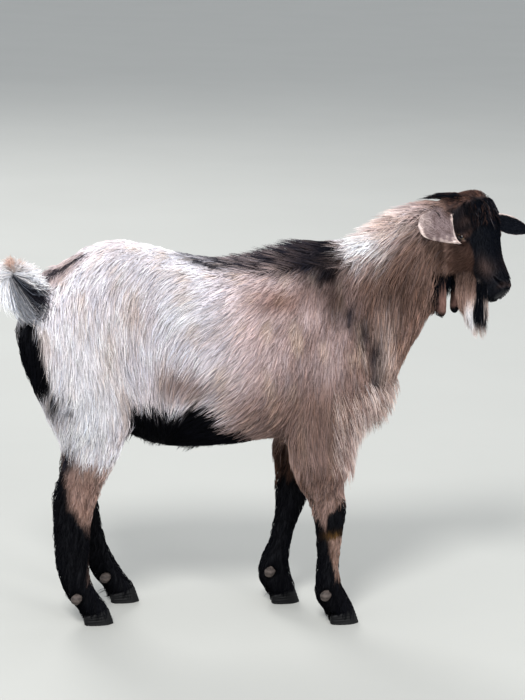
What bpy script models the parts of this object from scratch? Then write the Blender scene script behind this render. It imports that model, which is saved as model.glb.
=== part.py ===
"""A standing buck goat, hornless, bearded and shaggy, at life size.

The body is lofted through named sections that give its outline out to the tips of the coat,
fused into one form, and parted with thin cuts into the nodes that a person would name.
Metres, +Z up, nose of the body towards +X, the animal's left towards +Y, hooves on Z = 0.
"""
from math import cos, pi, radians, sin

import bmesh
import bpy
import numpy as np
from mathutils import Matrix, Vector

# ---------------------------------------------------------------- driving dimensions
CUT_GAP = 0.0003               # air between two pieces that touch
SEAT_GAP = 0.0008              # air round a piece set in a socket
WELD = 0.00004                 # corners closer than this become one

RUMP_TOP = 0.778               # highest point of the croup, coat included
BACK_TOP = 0.741               # lowest point of the back
WITHERS_TOP = 0.780            # shoulder hair
BELLY_LOW = 0.356              # sheath tuft
BRISKET_LOW = 0.372            # chest between the forelegs
RIB_HALF = 0.142               # half the width at the belly
LOIN_HALF = 0.124

HEAD_PIVOT = Vector((0.434, -0.075, 0.819))   # middle of the forehead, between the eyes
HEAD_YAW = radians(-52.0)      # the head looks out over the right shoulder
HEAD_PITCH = radians(54.0)     # nose below the forehead
EYE_RADIUS = 0.0140
EYE_SPREAD = 0.0460            # from the middle of the head to the eyeball's centre
EYE_DEPTH = 0.033              # below the forehead
EAR_THICK = 0.0045

HOOF_LENGTH = 0.060
HOOF_WIDTH = 0.0225            # of one claw
HOOF_TOE_HEIGHT = 0.033
HOOF_LEAN = 0.011              # the toe's crown lies this far behind its tip
HOOF_TAPER = 0.0025            # and the wall's crown this far inside the sole
HOOF_HEEL_HEIGHT = 0.019
CLEFT = 0.003                  # between the two claws at the heel
DEWCLAW_RADIUS = 0.0115

BODY_VOXEL = 0.0065            # the grain at which lofts run together
HEAD_VOXEL = 0.0042
BODY_TRIANGLES = 3400
HEAD_TRIANGLES = 2200
BEARD_TRIANGLES = 180

AXIS_Y = Vector((0.0, 1.0, 0.0))
SIDES = {"right": -1.0, "left": 1.0}
PAIRS = ("fore", "hind")
WIDE = 0.30                    # a cutting box that runs clear of the body on this side

# Where each pair of legs is parted: its top, its joint, and how far its cuts reach back,
# forward and in towards the middle.
LEG_TOP = {"fore": 0.345, "hind": 0.440}
LEG_JOINT = {"fore": 0.236, "hind": 0.262}
LEG_REAR = {"fore": -0.060, "hind": -0.60}
LEG_FRONT = {"fore": 0.177, "hind": -0.268}
LEG_INNER = {"fore": 0.036, "hind": 0.034}
SHANK_INNER = 0.010
SHANK_STEP = 0.100             # the shanks reach this much further forward than the thighs

# Where each hoof stands: its toe's X and its middle's Y.
FEET = {
    ("fore", "right"): (0.200, -0.080),
    ("fore", "left"): (0.098, 0.060),
    ("hind", "right"): (-0.302, -0.066),
    ("hind", "left"): (-0.238, 0.077),
}
# Where each leg's dewclaws root: X, Y and height.
FETLOCKS = {
    ("fore", "right"): (0.134, -0.080, 0.066),
    ("fore", "left"): (0.038, 0.060, 0.074),
    ("hind", "right"): (-0.372, -0.066, 0.060),
    ("hind", "left"): (-0.304, 0.077, 0.060),
}
DEWCLAW_SPREAD = 0.013         # from the leg's middle to each dewclaw's root
DEWCLAW_AIM = (-0.75, 0.75, -0.45)

PALE = (0.62, 0.58, 0.60)
BROWN = (0.26, 0.17, 0.14)
DARK = (0.012, 0.012, 0.016)
HORN = (0.20, 0.18, 0.18)

# The head's own frame: down the nose, out of the forehead, and to its left.
HEAD_DOWN = Vector((cos(HEAD_PITCH) * cos(HEAD_YAW), cos(HEAD_PITCH) * sin(HEAD_YAW),
                    -sin(HEAD_PITCH)))
HEAD_OUT = Vector((sin(HEAD_PITCH) * cos(HEAD_YAW), sin(HEAD_PITCH) * sin(HEAD_YAW),
                   cos(HEAD_PITCH)))
HEAD_LEFT = Vector((-sin(HEAD_YAW), cos(HEAD_YAW), 0.0))


# ---------------------------------------------------------------- lofts
def section(low, high, half_width, level=0.5, power=2.2, side=AXIS_Y):
    """One section of a loft, from its low end to its high end, widest at the given level."""
    return [*low, *high, half_width, level, power, *side]


def upright(x, low, high, half_width, level=0.45, y=0.0, power=2.2):
    """A section that stands across the body, as a slice of the trunk does."""
    return section((x, y, low), (x, y, high), half_width, level, power)


def level_slice(z, rear, front, y, half_width, level=0.5, power=2.2):
    """A level section, as a slice of a leg is."""
    return section((rear, y, z), (front, y, z), half_width, level, power)


def head_point(down, out, left=0.0):
    """A place on the head, given in the head's own frame."""
    return HEAD_PIVOT + HEAD_DOWN * down + HEAD_OUT * out + HEAD_LEFT * left


def head_slice(down, top, bottom, half_width, level=0.55, power=2.3):
    """A section across the head, from its underside to the bridge of the nose."""
    return section(head_point(down, bottom), head_point(down, top), half_width, level, power,
                   HEAD_LEFT)


def smooth_rows(rows, steps):
    """Rows put between the given ones by a Catmull-Rom curve through each value."""
    rows = np.asarray(rows, dtype=float)
    ends = np.vstack([2 * rows[0] - rows[1], rows, 2 * rows[-1] - rows[-2]])
    dense = []
    for index in range(1, len(ends) - 2):
        before, start, stop, after = ends[index - 1:index + 3]
        for step in range(steps):
            t = step / steps
            dense.append(0.5 * (2 * start + (stop - before) * t
                                + (2 * before - 5 * start + 4 * stop - after) * t ** 2
                                + (3 * start - before - 3 * stop + after) * t ** 3))
    dense.append(ends[-2])
    return np.array(dense)


def outline(row, around):
    """The points of one section's oval, in order."""
    low, high = Vector(row[0:3]), Vector(row[3:6])
    half_width, level, power = row[6:9]
    side = Vector(row[9:12]).normalized()
    rise = high - low
    middle = low + rise * level
    points = []
    for index in range(around):
        angle = 2 * pi * index / around
        across = np.sign(cos(angle)) * abs(cos(angle)) ** (2 / power)
        along = np.sign(sin(angle)) * abs(sin(angle)) ** (2 / power)
        reach = (1 - level) if along > 0 else level
        points.append(middle + side * half_width * across + rise * reach * along)
    return points


def add_loft(mesh, sections, steps=4, around=28):
    """Skin the sections into one closed form inside the mesh."""
    rings = []
    for row in smooth_rows(sections, steps):
        rings.append([mesh.verts.new(point) for point in outline(row, around)])
    faces = []
    for first, second in zip(rings, rings[1:]):
        for index in range(around):
            after = (index + 1) % around
            faces.append(mesh.faces.new((first[index], first[after],
                                         second[after], second[index])))
    faces.append(mesh.faces.new(reversed(rings[0])))
    faces.append(mesh.faces.new(rings[-1]))
    bmesh.ops.recalc_face_normals(mesh, faces=faces)


def mesh_object(name, mesh):
    """An object made of a bmesh, which is used up."""
    data = bpy.data.meshes.new(name)
    mesh.to_mesh(data)
    mesh.free()
    made = bpy.data.objects.new(name, data)
    bpy.context.scene.collection.objects.link(made)
    return made


def settle(made):
    """Replace an object's mesh by what its modifiers make of it."""
    graph = bpy.context.evaluated_depsgraph_get()
    data = bpy.data.meshes.new_from_object(made.evaluated_get(graph))
    made.modifiers.clear()
    made.data = data
    return made


# ---------------------------------------------------------------- the forms
def trunk_sections():
    """The barrel, from the pin bones to the front of the chest."""
    return [
        upright(-0.470, 0.540, 0.668, 0.040),
        upright(-0.450, 0.500, 0.700, 0.078, 0.55),
        upright(-0.400, 0.450, 0.737, 0.106, 0.55),
        upright(-0.350, 0.425, 0.766, 0.118, 0.55),
        upright(-0.300, 0.395, RUMP_TOP, LOIN_HALF, 0.50),
        upright(-0.230, 0.362, 0.765, LOIN_HALF, 0.46),
        upright(-0.160, BELLY_LOW, 0.748, 0.134, 0.42),
        upright(-0.080, 0.359, BACK_TOP, RIB_HALF, 0.42),
        upright(0.000, 0.371, 0.747, RIB_HALF, 0.42),
        upright(0.070, BRISKET_LOW, 0.766, 0.130, 0.42),
        upright(0.130, 0.370, WITHERS_TOP, 0.112, 0.40),
        upright(0.180, 0.378, 0.770, 0.092, 0.38),
        upright(0.230, 0.395, 0.680, 0.062, 0.40),
        upright(0.256, 0.420, 0.560, 0.026, 0.40),
    ]


def neck_sections():
    """The neck, from inside the chest up to the back of the head."""
    to_head = AXIS_Y.lerp(HEAD_LEFT, 0.55)
    return [
        section((0.175, 0.0, 0.400), (0.060, 0.0, 0.755), 0.092, 0.42),
        section((0.260, 0.0, 0.475), (0.120, 0.0, 0.776), 0.088, 0.42),
        section((0.292, -0.003, 0.545), (0.170, -0.002, 0.784), 0.079, 0.45),
        section((0.322, -0.008, 0.600), (0.218, -0.006, 0.818), 0.071, 0.48),
        section((0.346, -0.018, 0.655), (0.274, -0.014, 0.854), 0.065, 0.50),
        section((0.364, -0.028, 0.696), (0.328, -0.026, 0.872), 0.058, 0.52, 2.2,
                AXIS_Y.lerp(HEAD_LEFT, 0.3)),
        section((0.386, -0.034, 0.728), (0.372, -0.038, 0.880), 0.046, 0.52, 2.2, to_head),
        section((0.400, -0.042, 0.765), (0.395, -0.046, 0.866), 0.030, 0.52, 2.2, to_head),
    ]


def head_sections():
    """The head, from the back of the skull to the lips."""
    return [
        head_slice(-0.094, -0.018, -0.060, 0.018),
        head_slice(-0.086, 0.004, -0.088, 0.042),
        head_slice(-0.064, 0.021, -0.114, 0.052),
        head_slice(-0.035, 0.023, -0.132, 0.0560),
        head_slice(-0.010, 0.012, -0.141, 0.0590, 0.62),
        head_slice(0.015, 0.002, -0.141, 0.0545, 0.62),
        head_slice(0.042, -0.007, -0.130, 0.0455, 0.60),
        head_slice(0.068, -0.011, -0.115, 0.0370, 0.56),
        head_slice(0.093, -0.013, -0.100, 0.0325, 0.52, 2.5),
        head_slice(0.113, -0.017, -0.089, 0.0310, 0.48, 2.6),
        head_slice(0.126, -0.026, -0.081, 0.0260, 0.48, 2.4),
        head_slice(0.133, -0.038, -0.071, 0.0130, 0.48),
    ]


def leg_sections(pair, side):
    """A leg from inside the body to the coronet, as level slices (height, rear, front, ...)."""
    right = side == "right"
    if pair == "hind":
        hip = [
            (0.690, -0.430, -0.250, 0.050, 0.052),
            (0.645, -0.472, -0.240, 0.056, 0.056),
            (0.600, -0.513, -0.236, 0.060, 0.059),
            (0.555, -0.501, -0.238, 0.066, 0.061),
            (0.505, -0.481, -0.248, 0.071, 0.058),
            (0.455, -0.457, -0.262, 0.075, 0.051),
            (0.415, -0.434, -0.273, 0.076, 0.045),
        ]
        if right:
            shank = [
                (0.370, -0.416, -0.290, 0.074, 0.037),
                (0.325, -0.412, -0.308, 0.072, 0.031),
                (0.288, -0.428, -0.326, 0.070, 0.028),
                (0.250, -0.430, -0.340, 0.069, 0.026),
                (0.200, -0.430, -0.348, 0.068, 0.024),
                (0.130, -0.425, -0.350, 0.067, 0.023),
                (0.085, -0.412, -0.346, 0.066, 0.025),
                (0.055, -0.396, -0.332, 0.066, 0.026),
                (0.030, -0.372, -0.309, 0.066, 0.026),
                (0.004, -0.356, -0.298, 0.066, 0.024),
            ]
        else:
            shank = [
                (0.370, -0.412, -0.288, 0.078, 0.037),
                (0.325, -0.404, -0.304, 0.078, 0.031),
                (0.288, -0.412, -0.318, 0.078, 0.028),
                (0.250, -0.406, -0.326, 0.078, 0.026),
                (0.200, -0.394, -0.322, 0.078, 0.024),
                (0.130, -0.370, -0.306, 0.077, 0.023),
                (0.085, -0.350, -0.285, 0.077, 0.025),
                (0.055, -0.334, -0.268, 0.077, 0.026),
                (0.030, -0.310, -0.246, 0.077, 0.026),
                (0.004, -0.296, -0.238, 0.077, 0.024),
            ]
    else:
        hip = [
            (0.700, 0.030, 0.170, 0.052, 0.040),
            (0.600, 0.020, 0.200, 0.070, 0.052),
            (0.500, 0.020, 0.212, 0.078, 0.054),
            (0.430, 0.026, 0.196, 0.080, 0.048),
            (0.380, 0.036, 0.176, 0.080, 0.042),
        ]
        if right:
            shank = [
                (0.330, 0.048, 0.170, 0.080, 0.036),
                (0.290, 0.062, 0.162, 0.080, 0.030),
                (0.255, 0.086, 0.168, 0.080, 0.029),
                (0.222, 0.096, 0.168, 0.080, 0.028),
                (0.185, 0.104, 0.162, 0.080, 0.024),
                (0.125, 0.108, 0.158, 0.080, 0.023),
                (0.085, 0.106, 0.162, 0.080, 0.025),
                (0.055, 0.108, 0.176, 0.080, 0.026),
                (0.030, 0.126, 0.194, 0.080, 0.026),
                (0.004, 0.146, 0.206, 0.080, 0.024),
            ]
        else:
            shank = [
                (0.330, 0.030, 0.146, 0.074, 0.036),
                (0.290, 0.036, 0.124, 0.070, 0.030),
                (0.255, 0.038, 0.116, 0.068, 0.029),
                (0.215, 0.040, 0.108, 0.066, 0.028),
                (0.180, 0.038, 0.092, 0.064, 0.024),
                (0.130, 0.027, 0.079, 0.062, 0.023),
                (0.085, 0.009, 0.074, 0.061, 0.026),
                (0.055, 0.008, 0.079, 0.060, 0.027),
                (0.030, 0.024, 0.092, 0.060, 0.026),
                (0.004, 0.044, 0.102, 0.060, 0.024),
            ]
    sign = SIDES[side]
    return [level_slice(z, rear, front, sign * y, half, 0.5)
            for z, rear, front, y, half in hip + shank]


def tail_sections():
    """The raised tail and the hair that falls from it."""
    return [
        section((-0.425, -0.020, 0.640), (-0.415, 0.0, 0.722), 0.032),
        section((-0.442, -0.020, 0.606), (-0.442, 0.0, 0.723), 0.042),
        section((-0.470, -0.020, 0.600), (-0.475, 0.0, 0.727), 0.043),
        section((-0.500, -0.018, 0.612), (-0.508, 0.0, 0.735), 0.041),
        section((-0.530, -0.012, 0.634), (-0.535, 0.0, 0.736), 0.036),
        section((-0.552, -0.006, 0.660), (-0.554, 0.0, 0.722), 0.026),
        section((-0.565, 0.0, 0.680), (-0.565, 0.0, 0.702), 0.010),
    ]


def fringe_sections():
    """The long hair that hangs from the front of the brisket."""
    return [
        section((0.120, 0.0, 0.400), (0.250, 0.0, 0.440), 0.066),
        section((0.140, 0.0, 0.360), (0.254, 0.0, 0.390), 0.048),
        section((0.165, 0.0, 0.325), (0.234, 0.0, 0.350), 0.031),
        section((0.182, 0.0, 0.306), (0.210, 0.0, 0.320), 0.016),
    ]


def beard_sections():
    """The beard, hanging from the underside of the jaw."""
    return [
        section(head_point(0.035, -0.105), head_point(0.112, -0.070), 0.018, side=HEAD_LEFT),
        section((0.378, -0.052, 0.684), (0.440, -0.100, 0.674), 0.022, side=HEAD_LEFT),
        section((0.386, -0.062, 0.652), (0.444, -0.102, 0.640), 0.021, side=HEAD_LEFT),
        section((0.396, -0.072, 0.626), (0.442, -0.102, 0.618), 0.016, side=HEAD_LEFT),
        section((0.411, -0.082, 0.604), (0.436, -0.100, 0.602), 0.008, side=HEAD_LEFT),
    ]


def scrotum_sections():
    """The scrotum, hanging between the thighs."""
    return [
        section((-0.395, 0.0, 0.460), (-0.330, 0.0, 0.460), 0.026),
        section((-0.395, 0.0, 0.420), (-0.335, 0.0, 0.420), 0.024),
        section((-0.397, 0.0, 0.380), (-0.333, 0.0, 0.380), 0.029),
        section((-0.392, 0.0, 0.350), (-0.338, 0.0, 0.350), 0.026),
        section((-0.380, 0.0, 0.334), (-0.352, 0.0, 0.334), 0.012),
    ]


def fuse(name, lofts, voxel, triangles):
    """Lofts run together into one closed, smoothed form of about the given triangles."""
    mesh = bmesh.new()
    for sections in lofts:
        add_loft(mesh, sections)
    made = mesh_object(name, mesh)
    remesh = made.modifiers.new("fuse", "REMESH")
    remesh.mode = "VOXEL"
    remesh.voxel_size = voxel
    soften = made.modifiers.new("soften", "SMOOTH")
    soften.factor = 0.5
    soften.iterations = 4
    settle(made)
    made.data.calc_loop_triangles()
    thin = made.modifiers.new("thin", "DECIMATE")
    thin.ratio = triangles / len(made.data.loop_triangles)
    return settle(made)


# ---------------------------------------------------------------- cutting and seating
def box_object(name, low, high, turn=None):
    """A box between two corners, turned about the origin by a matrix."""
    mesh = bmesh.new()
    bmesh.ops.create_cube(mesh, size=1.0)
    low, high = Vector(low), Vector(high)
    size = high - low
    place = Matrix.Translation((low + high) / 2) @ Matrix.Diagonal((*size, 1.0))
    if turn is not None:
        place = turn @ place
    bmesh.ops.transform(mesh, matrix=place, verts=mesh.verts)
    return mesh_object(name, mesh)


def island(seed):
    """All corners that edges join to one corner."""
    found = {seed}
    queue = [seed]
    while queue:
        for edge in queue.pop().link_edges:
            for corner in edge.verts:
                if corner not in found:
                    found.add(corner)
                    queue.append(corner)
    return found


def clean(made):
    """Weld the slivers that a Boolean leaves, and keep the one large body."""
    mesh = bmesh.new()
    mesh.from_mesh(made.data)
    bmesh.ops.triangulate(mesh, faces=mesh.faces)
    bmesh.ops.remove_doubles(mesh, verts=mesh.verts, dist=WELD)
    bmesh.ops.dissolve_degenerate(mesh, edges=mesh.edges, dist=WELD)
    bmesh.ops.triangulate(mesh, faces=mesh.faces)
    left = set(mesh.verts)
    islands = []
    while left:
        group = island(next(iter(left)))
        islands.append(group)
        left -= group
    islands.sort(key=len)
    stray = [corner for group in islands[:-1] for corner in group]
    bmesh.ops.delete(mesh, geom=stray, context="VERTS")
    mesh.to_mesh(made.data)
    mesh.free()
    return made


def combine(made, tool, operation):
    """Cut, keep or join with a tool by an exact Boolean."""
    change = made.modifiers.new("change", "BOOLEAN")
    change.operation = operation
    change.solver = "EXACT"
    change.object = tool
    return clean(settle(made))


def discard(*unwanted):
    """Remove helper objects."""
    for made in unwanted:
        bpy.data.objects.remove(made, do_unlink=True)


def part_off(body, name, low, high, turn=None):
    """Take what lies in a box off the body as its own node, leaving a thin gap."""
    gap = Vector((CUT_GAP, CUT_GAP, CUT_GAP))
    piece = bpy.data.objects.new(name, body.data.copy())
    bpy.context.scene.collection.objects.link(piece)
    keep = box_object("keep", low, high, turn)
    clear = box_object("clear", Vector(low) - gap, Vector(high) + gap, turn)
    combine(piece, keep, "INTERSECT")
    combine(body, clear, "DIFFERENCE")
    discard(keep, clear)
    return piece


def frame_at(point, forward, across):
    """A matrix whose X runs forward and whose Y runs across, at a point."""
    x_axis = Vector(forward).normalized()
    z_axis = x_axis.cross(Vector(across)).normalized()
    y_axis = z_axis.cross(x_axis)
    turn = Matrix((x_axis, y_axis, z_axis)).transposed().to_4x4()
    return Matrix.Translation(point) @ turn


# ---------------------------------------------------------------- small parts
def leaf(name, spine, widths, across, thick, grow=0.0):
    """An ear: a curved leaf along a spine, with rounded edges and a hollow under side."""
    rows = []
    for point, half, direction in zip(spine, widths, across):
        rows.append([*point, half, *direction])
    dense = smooth_rows(rows, 2)
    count = 10
    mesh = bmesh.new()
    rings = []
    for index, row in enumerate(dense):
        here = Vector(row[0:3])
        ahead = Vector(dense[min(index + 1, len(dense) - 1)][0:3])
        behind = Vector(dense[max(index - 1, 0)][0:3])
        along = (ahead - behind).normalized()
        wide = Vector(row[4:7]).normalized()
        up = along.cross(wide).normalized()
        half = row[3] + grow
        depth = thick / 2 + grow
        ring = []
        for step in range(count):
            angle = 2 * pi * step / count
            sway = cos(angle)
            sag = -0.22 * half * sway ** 2
            ring.append(mesh.verts.new(here + wide * half * sway
                                       + up * (sag + depth * sin(angle))))
        rings.append(ring)
    for first, second in zip(rings, rings[1:]):
        for index in range(count):
            after = (index + 1) % count
            mesh.faces.new((first[index], first[after], second[after], second[index]))
    mesh.faces.new(reversed(rings[0]))
    mesh.faces.new(rings[-1])
    bmesh.ops.recalc_face_normals(mesh, faces=mesh.faces)
    return mesh_object(name, mesh)


def ear(side, grow=0.0, name=None):
    """One ear, rooted in the head behind the eye."""
    if side == "right":
        spine = [(0.362, 0.000, 0.838), (0.344, -0.032, 0.855), (0.331, -0.060, 0.853),
                 (0.321, -0.090, 0.837), (0.323, -0.115, 0.816), (0.337, -0.128, 0.805),
                 (0.351, -0.134, 0.800), (0.362, -0.137, 0.797)]
        across = [(1.0, 0.0, 0.1)] * len(spine)
        widths = (0.013, 0.018, 0.031, 0.037, 0.0345, 0.023, 0.010, 0.003)
    else:
        spine = [(0.418, 0.000, 0.846), (0.447, 0.012, 0.826), (0.474, 0.022, 0.812),
                 (0.500, 0.030, 0.806), (0.520, 0.036, 0.803), (0.539, 0.041, 0.797),
                 (0.552, 0.044, 0.792), (0.559, 0.046, 0.789)]
        across = [(0.2, -0.7, -0.7)] * len(spine)
        widths = (0.012, 0.016, 0.026, 0.028, 0.023, 0.014, 0.007, 0.003)
    return leaf(name or f"ear_{side}", spine, widths, across, EAR_THICK, grow)


def eyeball(side, grow=0.0, name=None):
    """An eyeball, most of it in its socket."""
    mesh = bmesh.new()
    place = Matrix.Translation(head_point(0.0, -EYE_DEPTH, SIDES[side] * EYE_SPREAD))
    bmesh.ops.create_uvsphere(mesh, u_segments=12, v_segments=8, radius=EYE_RADIUS + grow,
                              matrix=place)
    return mesh_object(name or f"eye_{side}", mesh)


def turned(name, spine, radii, grow=0.0, around=10):
    """A round form along a spine, such as a wattle or a dewclaw."""
    axis = (Vector(spine[-1]) - Vector(spine[0])).normalized()
    side = axis.orthogonal().normalized()
    up = axis.cross(side)
    rows = []
    reach = [-grow] + [0.0] * (len(spine) - 2) + [grow]
    for point, radius, push in zip(spine, radii, reach):
        middle = Vector(point) + axis * push
        half = radius + grow
        rows.append(section(middle - up * half, middle + up * half, half, 0.5, 2.0, side))
    mesh = bmesh.new()
    add_loft(mesh, rows, steps=1, around=around)
    return mesh_object(name, mesh)


def wattle(side, grow=0.0, name=None):
    """A tassel of skin that hangs from the throat."""
    sign = SIDES[side]
    middle = Vector((0.368, -0.030, 0.712))
    root = middle + Vector((0.62, 0.78, 0.0)) * sign * 0.030
    drop = (0.0, -0.022, -0.042, -0.062, -0.076, -0.082)
    radii = (0.007, 0.0085, 0.0095, 0.0105, 0.0095, 0.004)
    spine = [root + Vector((0.0, sign * 0.004, 1.0)) * fall for fall in drop]
    return turned(name or f"wattle_{side}", spine, radii, grow)


def dewclaw(name, place, sign, grow=0.0):
    """A blunt dewclaw behind the fetlock, pointing back, down and out."""
    start = Vector(place)
    back, out, down = DEWCLAW_AIM
    aim = Vector((back, sign * out, down)).normalized()
    reach = (0.0, 0.010, 0.018, 0.022)
    radii = (0.80, 1.0, 0.92, 0.45)
    spine = [start + aim * far for far in reach]
    return turned(name, spine, [DEWCLAW_RADIUS * share for share in radii], grow, 8)


def coronet(along):
    """How high the hoof's wall stands, from the heel (0) to the toe (1)."""
    return HOOF_HEEL_HEIGHT + (HOOF_TOE_HEIGHT - HOOF_HEEL_HEIGHT) * along


def claw(name, toe, y, outward):
    """One claw of a hoof: flat sole, upright wall, sloping coronet, pointed toe."""
    heel = toe - HOOF_LENGTH
    shape = [(0.00, 0.10), (0.00, 0.62), (0.10, 0.92), (0.35, 1.00), (0.60, 0.92),
             (0.82, 0.68), (0.96, 0.34), (1.00, 0.12), (0.80, 0.05), (0.40, 0.02)]
    mesh = bmesh.new()
    sole = []
    crown = []
    for along, wide in shape:
        x = heel + HOOF_LENGTH * along
        side = y + outward * (CLEFT * (0.5 + 0.8 * along) + HOOF_WIDTH * wide)
        lean = HOOF_LEAN * along
        sole.append(mesh.verts.new((x, side, 0.0)))
        crown.append(mesh.verts.new((x - lean, side - outward * HOOF_TAPER * wide,
                                     coronet(along - lean / HOOF_LENGTH))))
    count = len(shape)
    for index in range(count):
        after = (index + 1) % count
        mesh.faces.new((sole[index], sole[after], crown[after], crown[index]))
    mesh.faces.new(list(reversed(sole)))
    mesh.faces.new(crown)
    bmesh.ops.recalc_face_normals(mesh, faces=mesh.faces)
    return mesh_object(name, mesh)


# ---------------------------------------------------------------- finishes
def finish(made, name, colour, roughness):
    """Give an object its own plain material, and smooth shading."""
    material = bpy.data.materials.new(name)
    material.use_nodes = True
    shader = material.node_tree.nodes["Principled BSDF"]
    shader.inputs["Base Color"].default_value = (*colour, 1.0)
    shader.inputs["Roughness"].default_value = roughness
    shader.inputs["Metallic"].default_value = 0.0
    made.data.materials.clear()
    made.data.materials.append(material)
    made.data.shade_smooth()
    return made


# ---------------------------------------------------------------- the goat
def trim_sole(lower, toe, middle):
    """Cut a shank off along the slope of the hooves' coronets."""
    block = box_object("block", (toe - WIDE, middle - WIDE, -WIDE),
                       (toe + WIDE, middle + WIDE, 0.0))
    for vertex in block.data.vertices:
        if vertex.co.z > -WIDE / 2:
            along = (vertex.co.x - (toe - HOOF_LENGTH)) / HOOF_LENGTH
            vertex.co.z = coronet(along) + SEAT_GAP
    combine(lower, block, "DIFFERENCE")
    discard(block)


def build_feet(pair, side, lower):
    """The two claws and two dewclaws of one leg, and their seats in it."""
    toe, middle = FEET[pair, side]
    trim_sole(lower, toe, middle)
    for place, outward in (("inner", -SIDES[side]), ("outer", SIDES[side])):
        hoof = f"hoof_{pair}_{side}_{place}"
        finish(claw(hoof, toe, middle, outward), hoof, DARK, 0.5)
        root = Vector(FETLOCKS[pair, side]) + AXIS_Y * outward * DEWCLAW_SPREAD
        seat = dewclaw("seat", root, outward, SEAT_GAP)
        combine(lower, seat, "DIFFERENCE")
        discard(seat)
        spur = f"dewclaw_{pair}_{side}_{place}"
        finish(dewclaw(spur, root, outward), spur, HORN, 0.6)


def build_leg(body, pair, side):
    """Part one leg from the body, and its shank from its upper length."""
    sign = SIDES[side]
    joint = LEG_JOINT[pair]
    near, far = sorted((sign * SHANK_INNER, sign * WIDE))
    inner, outer = sorted((sign * LEG_INNER[pair], sign * WIDE))
    lower = part_off(body, f"{pair}leg_lower_{side}", (LEG_REAR[pair], near, -joint),
                     (LEG_FRONT[pair] + SHANK_STEP, far, joint))
    upper = part_off(body, f"{pair}leg_upper_{side}", (LEG_REAR[pair], inner, 0.0),
                     (LEG_FRONT[pair], outer, LEG_TOP[pair]))
    build_feet(pair, side, lower)
    finish(upper, upper.name, PALE if pair == "hind" else BROWN, 0.85)
    finish(lower, lower.name, DARK, 0.85)


def build_body():
    """Trunk, neck, tail and legs, made whole and parted."""
    lofts = [trunk_sections(), neck_sections(), tail_sections(), fringe_sections(),
             scrotum_sections()]
    for pair in PAIRS:
        for side in SIDES:
            lofts.append(leg_sections(pair, side))
    body = fuse("trunk", lofts, BODY_VOXEL, BODY_TRIANGLES)
    dock = frame_at((-0.452, 0.0, 0.680), (-1.0, 0.0, 0.10), AXIS_Y)
    tail = part_off(body, "tail", (0.0, -0.06, -0.09), (0.20, 0.06, 0.12), dock)
    collar = frame_at((0.222, 0.0, 0.640), (0.94, 0.0, 0.34), AXIS_Y)
    neck = part_off(body, "neck", (0.0, -WIDE, -0.22), (0.40, WIDE, 0.40), collar)
    for pair in PAIRS:
        for side in SIDES:
            build_leg(body, pair, side)
    finish(body, "trunk", PALE, 0.85)
    finish(tail, "tail", PALE, 0.85)
    return neck


def build_head(neck):
    """The head, parted from the neck, with its ears, eyes and wattles seated in it."""
    head = fuse("head", [head_sections(), neck_sections()], HEAD_VOXEL, HEAD_TRIANGLES)
    nape = frame_at((0.352, -0.030, 0.790), (0.97, -0.20, 0.10), (0.20, 0.97, 0.0))
    keep = box_object("keep", (CUT_GAP / 2, -WIDE, -WIDE), (0.4, WIDE, WIDE), nape)
    clear = box_object("clear", (-CUT_GAP / 2, -WIDE, -WIDE), (0.4, WIDE, WIDE), nape)
    combine(head, keep, "INTERSECT")
    combine(neck, clear, "DIFFERENCE")
    discard(keep, clear)
    for side in SIDES:
        for make, colour, roughness in ((ear, BROWN, 0.8), (eyeball, DARK, 0.1),
                                        (wattle, BROWN, 0.8)):
            seat = make(side, SEAT_GAP, "seat")
            for host in (head, neck):
                combine(host, seat, "DIFFERENCE")
            discard(seat)
            made = make(side)
            finish(made, made.name, colour, roughness)
    finish(head, "head", BROWN, 0.8)
    finish(neck, "neck", BROWN, 0.85)
    return head


def build_beard(head):
    """The beard, with the jaw taken out of it."""
    beard = fuse("beard", [beard_sections()], HEAD_VOXEL, BEARD_TRIANGLES)
    combine(beard, head, "DIFFERENCE")
    finish(beard, "beard", PALE, 0.85)


def main():
    """Clear the scene and build the goat."""
    for old in list(bpy.data.objects):
        bpy.data.objects.remove(old, do_unlink=True)
    neck = build_body()
    head = build_head(neck)
    build_beard(head)


main()
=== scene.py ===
"""A standing buck goat at life size: its skin, shaggy coat, eyes, horn and stage.

The skin is fused from the frame's flesh, drawn in by the depth of the coat and sculpted round
the eyes, nose and mouth. The coat is combed over it in thin locks of solid mesh. Skin and coat
take their colours from the same markings. Metres, +Z up, nose of the body towards +X.
"""
from math import cos, pi, radians, sin

import bmesh
import bpy
import numpy as np
from bpy.props import FloatProperty, FloatVectorProperty, PointerProperty
from mathutils import Matrix, Vector
from mathutils.bvhtree import BVHTree
from mathutils.kdtree import KDTree


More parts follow.
